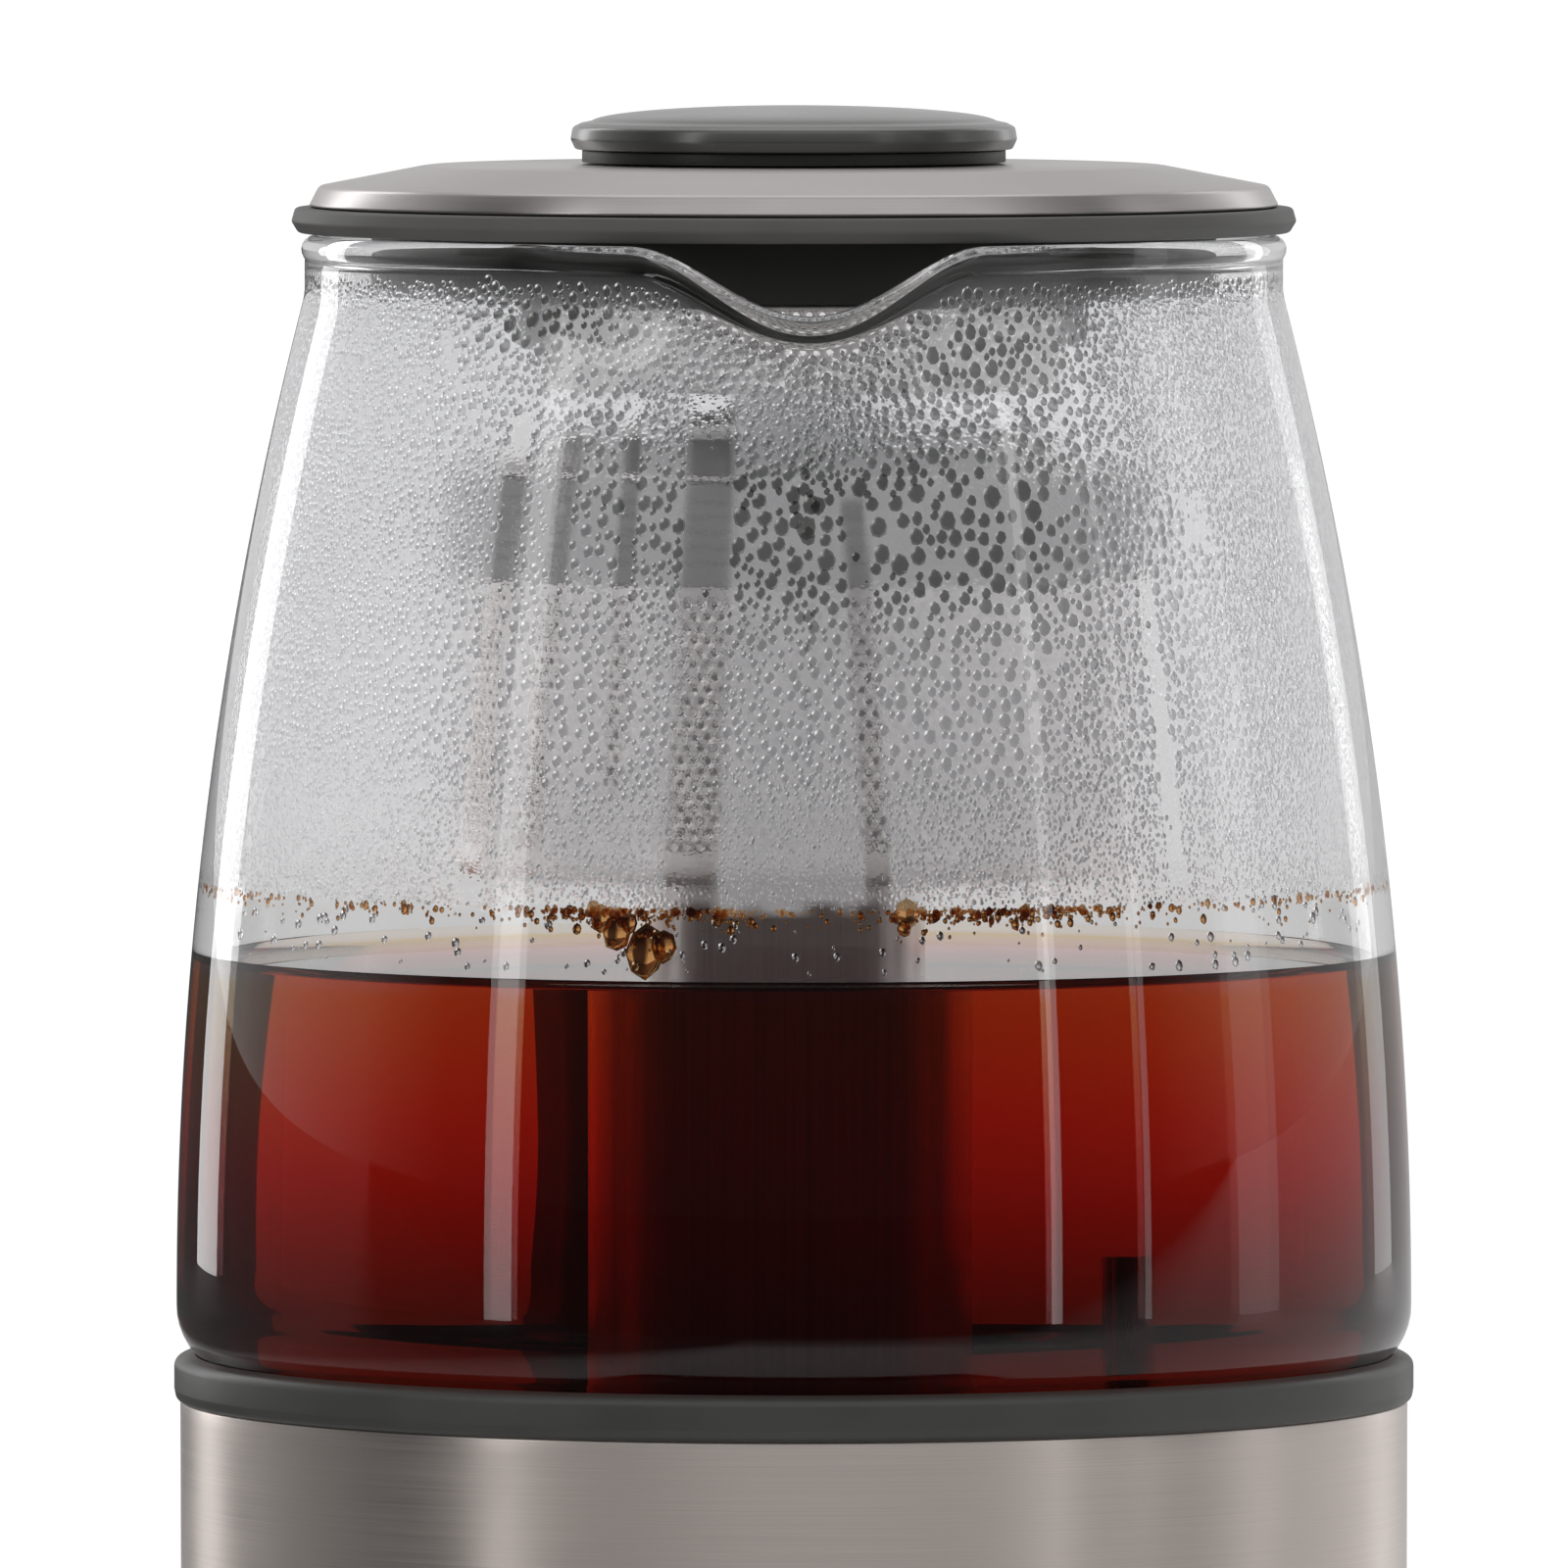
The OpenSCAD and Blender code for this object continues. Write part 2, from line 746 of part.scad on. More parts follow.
module post_cap() {
  color(grey_plastic) translate([0, post_y, post_top]) difference() {
    union() {
      linear_extrude(height = post_cap_t) obround(post_w, post_d);
      translate([0, 0, -cap_plug_h]) linear_extrude(height = cap_plug_h + eps)
        obround(post_w - 2 * post_wall - part_gap, post_d - 2 * post_wall - part_gap);
    }
    translate([0, 0, -cap_plug_h - cut]) cylinder(h = cap_plug_h + 2.5, r = journal_r + running_gap);
  }
}

module post_gasket() {
  color(silicone) translate([0, post_y, plate_z]) linear_extrude(height = 1.4) difference() {
    obround(post_w + 4, post_d + 4);
    obround(post_w + 0.1, post_d + 0.1);
  }
}

// Plug in the plate's opening that carries the lead screw's lower journal and the guide rods
bearing_t = 5;
bearing_z = plate_z - plate_t - 1.5;
module screw_bearing() {
  color(zinc) translate([0, post_y, bearing_z]) difference() {
    linear_extrude(height = bearing_t)
      obround(post_w - 2 * post_wall - 2.2, post_d - 2 * post_wall - 2.2);
    translate([0, 0, -cut]) cylinder(h = bearing_t + 2 * cut, r = journal_r + running_gap);
  }
}

module guide_rods() {
  z = bearing_z + bearing_t;
  color(zinc) for (s = [-1, 1]) translate([s * rod_x, post_y, z])
    cylinder(h = post_top - cap_plug_h - z, r = rod_r);
}

module lift_motor() {
  color(zinc) translate([0, pinion_y, motor_z]) difference() {
    cylinder(h = motor_h, r = motor_r);
    translate([0, 0, motor_h - 8]) cylinder(h = 8 + cut, r = shaft_r + running_gap);
  }
}

// Gear outline: involute teeth with room between the flanks
module gear_outline(teeth, turn) {
  r = gear_module * teeth / 2;
  base = r * cos(pressure_angle);
  tip = r + addendum;
  root = r - dedendum;
  steps = 4;
  start = sqrt(pow(max(base, root) / base, 2) - 1);
  end = sqrt(pow(tip / base, 2) - 1);
  at_pitch = sqrt(pow(r / base, 2) - 1);
  function around(t) = t * 180 / PI - atan(t);
  half = 360 / teeth * tooth_share / 2 + around(at_pitch);
  function flank(t) = [base * sqrt(1 + t * t), half - around(t)];
  function place(p, s, a) = [p[0] * cos(a + s * p[1]), p[0] * sin(a + s * p[1])];
  points = [for (i = [0 : teeth - 1]) let (a = turn + i * 360 / teeth) each concat(
    [place([root, flank(start)[1]], -1, a)],
    [for (k = [0 : steps]) place(flank(start + (end - start) * k / steps), -1, a)],
    [for (k = [steps : -1 : 0]) place(flank(start + (end - start) * k / steps), 1, a)],
    [place([root, flank(start)[1]], 1, a)]
  )];
  polygon(points);
}

thread_low = bearing_z + bearing_t + 1;
thread_high = post_top - cap_plug_h - body_gap;
module lead_screw() {
  thread_h = thread_high - thread_low;
  turns = thread_h / screw_lead;
  color(steel) translate([0, post_y, 0]) {
    translate([0, 0, screw_z]) cylinder(h = thread_low - screw_z + eps, r = journal_r);
    translate([0, 0, thread_low])
      linear_extrude(height = thread_h, twist = -360 * turns, slices = round(12 * turns), $fn = 8)
        polygon([for (i = [0 : 7]) let (r = i % 4 < 2 ? thread_r : thread_root)
          [r * cos(i * 45), r * sin(i * 45)]]);
    translate([0, 0, thread_high - eps]) cylinder(h = cap_plug_h + 1, r = journal_r);
  }
}

module screw_gear() {
  color(black_plastic) translate([0, post_y, gear_z]) linear_extrude(height = gear_t)
    difference() {
      gear_outline(gear_teeth, -90);
      circle(journal_r + eps);
    }
}

module pinion() {
  color(black_plastic) translate([0, pinion_y, gear_z - 0.5]) {
    linear_extrude(height = gear_t + 1) gear_outline(pinion_teeth, 90 + 180 / pinion_teeth);
    translate([0, 0, -10]) cylinder(h = 10 + eps, r = shaft_r);
  }
}

handle_y_out = handle_in_y + handle_t;

// Side outline of the handle, drawn in by t: an arm, a long grip and a nose over the top
module handle_outline(t) {
  out = handle_y_out - t;
  low = handle_low + t;
  top = handle_top - t;
  inner = handle_in_y + t;
  arm = handle_low + handle_arm - t;
  under = handle_top - handle_t + t;
  root = skirt_r + bracket_t;
  big = 30 - t;
  crown = 26 - t;
  small = 9 + t;
  nose = handle_t / 2 - t;
  polygon(concat(
    [[root, low]],
    arc(out - big, low + big, big, -90, 0, 8),
    arc(out - crown, top - crown, crown, 0, 90, 8),
    arc(handle_in_y - handle_nose, handle_top - handle_t / 2, nose, 90, 270, 8),
    arc(inner - small, under - small, small, 90, 0, 5),
    arc(inner - small, arm + small, small, 0, -90, 5),
    [[root, arm]]
  ));
}

grip_low = handle_low + handle_arm + 12;
grip_high = handle_top - handle_t - 12;
handle_screw_z = [handle_low + 9.5, handle_low + handle_arm - 4.5];

module handle_slab(w, t) {
  rotate([90, 0, 90]) linear_extrude(height = w, center = true) handle_outline(t);
}

module handle_screw_holes(r, length) {
  for (z = handle_screw_z) translate([0, skirt_in_r - cut, z]) rotate([-90, 0, 0])
    cylinder(h = length, r = r);
}

module handle_shell() {
  edge = 2;
  color(black_plastic) difference() {
    union() {
      handle_slab(handle_w - 2 * edge, 0);
      handle_slab(handle_w, edge);
    }
    translate([-handle_w / 2 + grip_inset, handle_in_y - cut, grip_low])
      cube([handle_w - 2 * grip_inset, grip_t + cut, grip_high - grip_low]);
    handle_screw_holes(screw_r + screw_gap, long_screw_l + thread_room);
  }
}

module handle_grip() {
  color(grey_plastic) translate([-handle_w / 2 + grip_inset, handle_in_y, grip_low])
    cube([handle_w - 2 * grip_inset, grip_t, grip_high - grip_low]);
}

module handle_bracket() {
  color(steel) difference() {
    translate([-bracket_w / 2, 0, handle_low + 1])
      cube([bracket_w, skirt_r + bracket_t, handle_arm - 2]);
    translate([0, 0, handle_low]) cylinder(h = handle_arm, r = skirt_r + screw_gap);
    handle_screw_holes(screw_r + part_gap, long_screw_l + thread_room);
  }
}

module handle_screws() {
  color(zinc) for (z = handle_screw_z) translate([0, skirt_in_r - 2, z]) rotate([-90, 0, 0]) {
    cylinder(h = screw_head_h, r = screw_head_r);
    cylinder(h = long_screw_l, r = screw_r);
  }
}

// Carriage on the lead screw inside the post, with magnets at both ends
carriage_w = post_w - 2 * post_wall - 2 * carriage_gap;
carriage_d = post_d - 2 * post_wall - 2 * carriage_gap;
magnet_w = 6;
magnet_h = 10;
carriage_magnet_x = rod_x + 2.2;
module magnets(x, d) {
  for (s = [-1, 1]) translate([s * (x + d / 2), post_y, collar_z + carriage_h / 2])
    cube([d, magnet_w, magnet_h], center = true);
}

module lift_carriage() {
  color(zinc) difference() {
    translate([0, post_y, collar_z]) linear_extrude(height = carriage_h)
      obround(carriage_w, carriage_d);
    translate([0, post_y, collar_z - cut]) {
      cylinder(h = carriage_h + 2 * cut, r = thread_r + part_gap);
      for (s = [-1, 1]) translate([s * rod_x, 0, 0])
        cylinder(h = carriage_h + 2 * cut, r = rod_r + running_gap);
    }
    magnets(carriage_magnet_x, magnet_d);
  }
}

module carriage_magnets() {
  color(magnet_grey) magnets(carriage_magnet_x, magnet_d);
}

// Perforated cup
hole_pitch = (basket_depth - 8) / hole_rows;
module basket_body() {
  color(steel) translate([0, basket_y, basket_z]) difference() {
    cylinder(h = basket_depth + collar_h - 0.5, r = basket_r);
    translate([0, 0, sheet]) cylinder(h = basket_depth + collar_h, r = basket_r - sheet);
    for (row = [0 : hole_rows - 1], i = [0 : holes_round - 1])
      translate([0, 0, 5 + hole_pitch * (row + 0.5)])
        rotate([0, 90, (i + row % 2 / 2) * 360 / holes_round])
          translate([0, 0, basket_r - 3]) cylinder(h = 5, r = hole_r);
    for (k = [0 : 2], i = [0 : max(0, 6 * k - 1)]) rotate([0, 0, i * 60 / max(1, k)])
      translate([k * basket_r / 3, 0, -cut]) cylinder(h = sheet + 2 * cut, r = hole_r);
  }
}

module basket_collar() {
  color(silicone) translate([0, basket_y, collar_z]) difference() {
    cylinder(h = collar_h, r = collar_r);
    translate([0, 0, -cut]) cylinder(h = collar_h + 2 * cut, r = basket_r + screw_gap);
  }
}

// Hoop that rides round the post and meets the collar in front
clamp_end = 4.4;
clamp_magnet_x = post_w / 2 + 1.1;
module basket_clamp() {
  clamp_l = post_w + 2 * (clamp_gap + clamp_end);
  clamp_w = post_d + 2 * (clamp_gap + clamp_wall);
  color(grey_plastic) difference() {
    translate([0, post_y, collar_z]) linear_extrude(height = collar_h) difference() {
      obround(clamp_l, clamp_w);
      obround(post_w + 2 * clamp_gap, post_d + 2 * clamp_gap);
    }
    translate([0, basket_y, collar_z - cut])
      cylinder(h = collar_h + 2 * cut, r = collar_r + screw_gap);
    magnets(clamp_magnet_x, magnet_d);
  }
}

module clamp_magnets() {
  color(magnet_grey) magnets(clamp_magnet_x, magnet_d);
}

basket_lid_z = collar_top + 0.1;
basket_lid_h = 5.2;
basket_lid_t = 1;
basket_lid_plug_h = 3;
basket_knob_r = 9;
basket_knob_stem_r = 6;
basket_knob_h = 4.8;
module basket_lid() {
  flange = collar_r - 1;
  dome = 0.82 * basket_r;
  color(steel) translate([0, basket_y, basket_lid_z]) {
    rotate_extrude() polygon([
      [0, basket_lid_h], [dome - 4, basket_lid_h], [dome, basket_lid_t], [flange, basket_lid_t],
      [flange, 0], [dome - 1, 0], [dome - 4.8, basket_lid_h - basket_lid_t],
      [0, basket_lid_h - basket_lid_t]
    ]);
    ring(basket_lid_r - basket_lid_t, basket_lid_r, -basket_lid_plug_h, basket_lid_plug_h + eps);
  }
}

module basket_lid_knob() {
  color(grey_plastic) translate([0, basket_y, basket_lid_z + basket_lid_h])
    rotate_extrude() polygon([
      [0, 0], [basket_knob_stem_r, 0], [basket_knob_stem_r, basket_knob_h / 3],
      [basket_knob_r, basket_knob_h / 2], [basket_knob_r, basket_knob_h - 0.6],
      [basket_knob_r - 1, basket_knob_h], [0, basket_knob_h]
    ]);
}

cover_flat_r = 0.76 * cover_r;
module lid_cover() {
  in_r = cover_r - cover_t - 0.1;
  color(steel) difference() {
    rotate_extrude() polygon([
      [in_r, cover_z], [cover_r, cover_z], [cover_r - 1.8, cover_z + cover_edge_h],
      [cover_flat_r, cover_top - 0.3], [0, cover_top], [0, cover_top - cover_t],
      [cover_flat_r - 0.2, cover_top - cover_t - 0.4],
      [in_r - 1.8, cover_z + cover_edge_h - cover_t / 2]
    ]);
    translate([0, 0, cover_z]) cylinder(h = lid_rise + cut, r = screw_r + part_gap);
  }
}

seal_in_r = flange_r - 2.5;
module lid_seal() {
  edge = 0.6;
  groove_r = flange_r + screw_gap;
  color(silicone) rotate_extrude() polygon([
    [seal_in_r, seal_z], [seal_r - edge, seal_z], [seal_r, seal_z + edge],
    [seal_r, seal_z + seal_h - edge], [seal_r - edge, seal_z + seal_h],
    [seal_in_r, seal_z + seal_h], [seal_in_r, flange_z + flange_h],
    [groove_r, flange_z + flange_h], [groove_r, flange_z], [seal_in_r, flange_z]
  ]);
}

lug_turn = strainer_half + 1.5;
module lid_plug() {
  color(grey_plastic) difference() {
    union() {
      difference() {
        translate([0, 0, plug_z]) cylinder(h = flange_z + flange_h - plug_z, r = plug_r);
        translate([0, 0, plug_z + plug_wall]) cylinder(h = glass_h, r = plug_r - plug_wall);
      }
      ring(plug_r - eps, flange_r, flange_z, flange_h);
      translate([0, 0, plug_z]) cylinder(h = cover_top - cover_t - plug_z - part_gap, r = 5);
      for (s = [-1, 1]) rotate([0, 0, -90 + s * lug_turn])
        translate([strainer_r - 1.5, -1, plug_z - 6]) cube([3, 2, 6 + plug_wall]);
    }
    translate([0, 0, plug_z - cut]) {
      cylinder(h = cover_top, r = screw_r + part_gap);
      cylinder(h = cut + screw_head_h + 0.2, r = screw_head_r + part_gap);
    }
  }
}

// Curved screen under the plug that holds leaves back from the lip
module lid_strainer() {
  color(steel) difference() {
    rotate([0, 0, -90 - strainer_half]) rotate_extrude(angle = 2 * strainer_half)
      translate([strainer_r - sheet, plug_z - strainer_h]) square([sheet, strainer_h]);
    for (row = [0 : 2], i = [-6 : 6])
      translate([0, 0, plug_z - strainer_h + 2.4 + 3.3 * row])
        rotate([0, 90, -90 + (i + row % 2 / 2) * (2 * strainer_half - 6) / 13])
          translate([0, 0, strainer_r - 3]) cylinder(h = 6, r = 1);
  }
}

module lid_knob() {
  dome_up = knob_h - 5.3;
  top_r = knob_r - 1.15;
  dome_r = (top_r * top_r + dome_up * dome_up) / (2 * dome_up);
  half = asin(top_r / dome_r);
  color(grey_plastic) translate([0, 0, knob_z]) difference() {
    rotate_extrude() polygon(concat(
      [[0, 0], [knob_foot_r, 0], [knob_foot_r, 1.6], [knob_r, 1.9], [knob_r, 4.5]],
      [for (a = [90 - half : half / 6 : 90.001]) [dome_r * cos(a), knob_h - dome_r + dome_r * sin(a)]]
    ));
    translate([0, 0, -cut]) cylinder(h = cut + 5, r = screw_r + screw_gap);
  }
}

module lid_knob_screw() {
  color(zinc) translate([0, 0, plug_z + 0.2]) {
    cylinder(h = screw_head_h, r = screw_head_r);
    cylinder(h = knob_z + 4.5 - plug_z, r = screw_r);
  }
}

base_housing();
base_floor();
base_screws();
base_feet();
control_bezel();
display_window();
display_module();
control_board();
button_switches();
socket_body();
socket_contacts();
power_board();
cord_gland();
swivel_ring();
button_tea_type();
button_strength();
button_hot_water();
button_start();
button_cooler();
button_warmer();
jug_skirt();
jug_bottom();
jug_bottom_screws();
glass_ring();
glass_jug();
plate_seal();
heating_plate();
heating_element();
thermal_cutout();
temperature_probe();
jug_connector();
post_tube();
post_cap();
post_gasket();
screw_bearing();
guide_rods();
lift_motor();
handle_bracket();
handle_shell();
handle_grip();
handle_screws();
lead_screw();
screw_gear();
pinion();
lift_carriage();
carriage_magnets();
basket_body();
basket_collar();
basket_clamp();
clamp_magnets();
basket_lid();
basket_lid_knob();
lid_cover();
lid_seal();
lid_plug();
lid_strainer();
lid_knob();
lid_knob_screw();
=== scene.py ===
"""Automatic tea maker: the looks of its pieces, its lights and its camera, round the CAD frame.

Every piece is a surface worked out with numpy in metres, in the frame of the CAD, where +Z is
up, the spout and the control panel face -Y and the handle faces +Y.
"""

import math

import bmesh
import bpy
import numpy as np
from bpy.props import FloatProperty, FloatVectorProperty, IntProperty, PointerProperty
from bpy.types import Operator, Panel, PropertyGroup
from mathutils import Matrix, Vector


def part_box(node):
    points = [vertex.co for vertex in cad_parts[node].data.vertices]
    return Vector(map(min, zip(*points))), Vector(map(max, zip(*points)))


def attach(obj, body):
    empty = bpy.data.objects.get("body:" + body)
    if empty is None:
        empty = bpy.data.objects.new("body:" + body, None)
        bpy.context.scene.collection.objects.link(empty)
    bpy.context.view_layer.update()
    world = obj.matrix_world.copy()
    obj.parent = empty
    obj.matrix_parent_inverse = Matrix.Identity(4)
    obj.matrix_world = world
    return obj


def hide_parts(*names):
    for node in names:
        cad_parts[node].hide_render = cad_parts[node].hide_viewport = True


bl_info = {
    "name": "Automatic tea maker",
    "version": (1, 0, 0),
    "blender": (4, 5, 0),
    "location": "View3D > Sidebar > Tea maker",
    "description": "Builds the glass jug, lift, basket, lid and power base of a tea maker",
    "category": "Object",
}

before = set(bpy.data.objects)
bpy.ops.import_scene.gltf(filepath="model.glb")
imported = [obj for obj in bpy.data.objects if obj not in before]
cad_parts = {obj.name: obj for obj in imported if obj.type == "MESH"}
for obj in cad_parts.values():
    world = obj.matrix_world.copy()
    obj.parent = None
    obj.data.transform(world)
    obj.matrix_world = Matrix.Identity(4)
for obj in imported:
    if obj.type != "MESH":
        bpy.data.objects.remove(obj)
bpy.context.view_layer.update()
MM = 0.001
TURN = 2 * math.pi


# ---------------------------------------------------------------- places from the CAD frame

def node_low(node):
    """Lowest corner of a CAD node's box."""
    return np.array(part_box(node)[0])


def node_high(node):
    """Highest corner of a CAD node's box."""
    return np.array(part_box(node)[1])


GLASS_Z = node_low("glass_jug")[2]
RIM_Z = node_high("glass_jug")[2]
GLASS_H = RIM_Z - GLASS_Z
BELLY_R = node_high("glass_jug")[0]
PLATE_Z = node_high("heating_plate")[2]
PLATE_R = node_high("heating_plate")[0]
SKIRT_R = node_high("jug_skirt")[0]
BASKET_LOW = node_low("basket_body")
BASKET_HIGH = node_high("basket_body")
BASKET_R = (BASKET_HIGH[0] - BASKET_LOW[0]) / 2
BASKET_Y = (BASKET_HIGH[1] + BASKET_LOW[1]) / 2
COLLAR_Z = node_low("basket_collar")[2]
PANEL_TILT = math.radians(24)
PANEL_MIDDLE = np.array([0.0, -108.0, 25.99]) * MM


# ---------------------------------------------------------------- meshes

def smooth_step(t):
    """Nought below 0, one above 1, and 3t^2 - 2t^3 between them."""
    t = np.clip(t, 0, 1)
    return t * t * (3 - 2 * t)


def grid_quads(rows, cols, loop_rows=False, loop_cols=True, start=0):
    """Quads between neighbouring points of a grid.

    Point (i, j) has the number start + i * cols + j; a looped direction joins its last line
    to its first.
    """
    i = np.arange(rows if loop_rows else rows - 1)
    j = np.arange(cols if loop_cols else cols - 1)
    i, j = np.meshgrid(i, j, indexing="ij")
    i2 = (i + 1) % rows
    j2 = (j + 1) % cols
    corners = [i * cols + j, i * cols + j2, i2 * cols + j2, i2 * cols + j]
    return start + np.stack(corners, -1).reshape(-1, 4)


def fan(ring, tip):
    """Triangles between a closed ring of points and a tip, seen from the tip's side."""
    return np.stack([ring, np.roll(ring, -1), np.full(len(ring), tip)], -1)


def make_piece(name, points, faces, material, body, uv=None, sharp=40,
               stands_for=None):
    """An object from an array of points and a list of face arrays, at the origin.

    uv gives a value pair for each point; sharp is the angle in degrees above which an edge
    stays sharp; stands_for is the CAD node that the piece replaces.
    """
    mesh = bpy.data.meshes.new(name)
    points = np.asarray(points, float).reshape(-1, 3)
    faces = [np.asarray(f, int) for f in faces if len(f)]
    loops = np.concatenate([f.reshape(-1) for f in faces])
    sizes = np.concatenate([np.full(len(f), f.shape[1]) for f in faces])
    starts = np.concatenate([[0], np.cumsum(sizes)[:-1]])
    for group, total, key, values in (
            (mesh.vertices, len(points), "co", points.astype(np.float32)),
            (mesh.loops, len(loops), "vertex_index", loops.astype(np.int32)),
            (mesh.polygons, len(sizes), "loop_start", starts.astype(np.int32))):
        group.add(total)
        group.foreach_set(key, values.reshape(-1))
    mesh.polygons.foreach_set("loop_total", sizes.astype(np.int32))
    mesh.update(calc_edges=True)
    if uv is not None:
        layer = mesh.uv_layers.new(name="surface")
        layer.data.foreach_set("uv", np.asarray(uv, np.float32)[loops].reshape(-1))
    mesh.shade_smooth()
    if sharp < 180:
        mesh.set_sharp_from_angle(angle=math.radians(sharp))
    obj = bpy.data.objects.new(name, mesh)
    bpy.context.collection.objects.link(obj)
    mesh.materials.append(material)
    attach(obj, body)
    if stands_for:
        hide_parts(stands_for)
    return obj


def give_attributes(obj, **attributes):
    """Puts point attributes of one value a point on a piece."""
    for name, values in attributes.items():
        layer = obj.data.attributes.new(name, "FLOAT", "POINT")
        layer.data.foreach_set("value", values.astype(np.float32).reshape(-1))


def unit(vectors):
    """Vectors along the last axis, brought to a length of one."""
    return vectors / np.linalg.norm(vectors, axis=-1, keepdims=True)


def round_points(angle):
    """Points of the unit circle at angles."""
    return np.stack([np.cos(angle), np.sin(angle)], -1)


def arc_length(points):
    """Length along a chain of points up to each of them."""
    return np.concatenate([[0], np.cumsum(np.linalg.norm(np.diff(points, axis=0), axis=1))])


def soft_profile(corners, steps=6):
    """Profile through corners (radius, height, bend), each bend rounded by an arc.

    An arc of the radius "bend" touches both sides of its corner; its points are at equal
    turns between the two touching points.
    """
    corners = np.array(corners, float)
    points = []
    count = len(corners)
    for k, (r, z, bend) in enumerate(corners):
        here = np.array([r, z])
        if bend <= 0 or k in (0, count - 1) and r == 0:
            points.append(here)
            continue
        back = corners[k - 1, :2] - here
        ahead = corners[(k + 1) % count, :2] - here
        back /= np.linalg.norm(back)
        ahead /= np.linalg.norm(ahead)
        half = math.acos(np.clip(back @ ahead, -1, 1)) / 2
        reach = bend / math.tan(half)
        first = here + back * reach
        last = here + ahead * reach
        middle = here + (back + ahead) / np.linalg.norm(back + ahead) * bend / math.sin(half)
        a = math.atan2(*(first - middle)[::-1])
        b = math.atan2(*(last - middle)[::-1])
        turn = (b - a + math.pi) % TURN - math.pi
        angle = a + turn * np.linspace(0, 1, steps)
        points.extend(np.stack([np.cos(angle), np.sin(angle)], -1) * bend + middle)
    return np.array(points)


def lathe(name, profile, material, body, steps=192, centre=(0, 0), sharp=40,
          stands_for=None):
    """Surface of revolution: a profile of (radius, height) turned round an upright axis.

    The profile goes up the outside. It is a closed loop, or starts and ends on the axis,
    where its ends become poles. The UV map holds the arc length round and along it.
    """
    profile = np.asarray(profile, float)
    solid = profile[0, 0] == 0 and profile[-1, 0] == 0
    body_rows = profile[1:-1] if solid else profile
    angle = np.arange(steps) * TURN / steps
    r = body_rows[:, 0, None]
    z = np.broadcast_to(body_rows[:, 1, None], (len(body_rows), steps))
    points = np.stack([centre[0] + r * np.cos(angle), centre[1] + r * np.sin(angle), z], -1)
    points = points.reshape(-1, 3)
    along = arc_length(body_rows)
    u = np.broadcast_to(np.abs((angle / TURN) % 1 - 0.5) * 2, (len(body_rows), steps))
    v = np.broadcast_to(along[:, None], u.shape)
    uv = np.stack([u, v], -1).reshape(-1, 2)
    faces = [grid_quads(len(body_rows), steps, loop_rows=not solid)]
    if solid:
        first = len(points)
        poles = [[centre[0], centre[1], profile[0, 1]], [centre[0], centre[1], profile[-1, 1]]]
        points = np.concatenate([points, poles])
        uv = np.concatenate([uv, [[0, 0], [0, along[-1]]]])
        faces.append(fan(np.arange(steps)[::-1], first))
        faces.append(fan(np.arange(first - steps, first), first + 1))
    return make_piece(name, points, faces, material, body, uv, sharp, stands_for)


def turned(name, corners, steps, finish, body, slot_name, around=192, centre=(0, 0),
           stands_for=None):
    """A surface of revolution through rounded corners (radius, height, bend) in mm."""
    lathe(name, soft_profile(corners, steps) * MM, MATERIALS[finish], body, around,
          centre, stands_for=stands_for)


def round_size(node):
    """Radius, lowest and highest height, in mm, of a CAD node round an upright axis."""
    high = node_high(node) / MM
    return high[0], node_low(node)[2] / MM, high[2]


def obround_rows(length, width, rows, steps=24):
    """Loops of an obround outline, one for each (inset, height) in rows.

    The outline is two half circles of the width joined by straight sides; an inset draws it
    in by that distance.
    """
    angle = np.concatenate([
        np.linspace(-math.pi / 2, math.pi / 2, steps),
        np.linspace(math.pi / 2, 3 * math.pi / 2, steps),
    ])
    side = np.repeat([1.0, -1.0], steps)
    straight = (length - width) / 2
    rows = np.asarray(rows, float)
    r = width / 2 - rows[:, 0, None]
    x = side * straight + r * np.cos(angle)
    y = r * np.sin(angle)
    z = np.broadcast_to(rows[:, 1, None], x.shape)
    return np.stack([x, y, z], -1)


def stacked(loops):
    """Points and faces of a solid made of stacked loops, closed by a flat face at each end."""
    rows, cols, _ = loops.shape
    points = loops.reshape(-1, 3)
    last = np.arange((rows - 1) * cols, rows * cols)
    return points, [grid_quads(rows, cols), np.arange(cols)[::-1][None], last[None]]


def tube(path, outline):
    """Points and faces of a closed rounded bar: an outline carried along a path in a plane.

    path has rows of (y, z, thickness scale, width scale); the outline's first coordinate is
    laid along X and its second along the path's normal in the YZ plane.
    """
    path = np.asarray(path, float)
    step = np.gradient(path[:, :2], axis=0)
    step /= np.linalg.norm(step, axis=1)[:, None]
    normal = np.stack([step[:, 1], -step[:, 0]], -1)
    x = outline[:, 0] * path[:, 3, None]
    out = outline[:, 1] * path[:, 2, None]
    y = path[:, 0, None] + normal[:, 0, None] * out
    z = path[:, 1, None] + normal[:, 1, None] * out
    return stacked(np.stack([x, y, z], -1))


def on_panel(points):
    """Points given in mm across, up and out of the sloped control panel, put in the frame."""
    turn = np.array(Matrix.Rotation(PANEL_TILT, 3, "X"))
    return points * MM @ turn.T + PANEL_MIDDLE


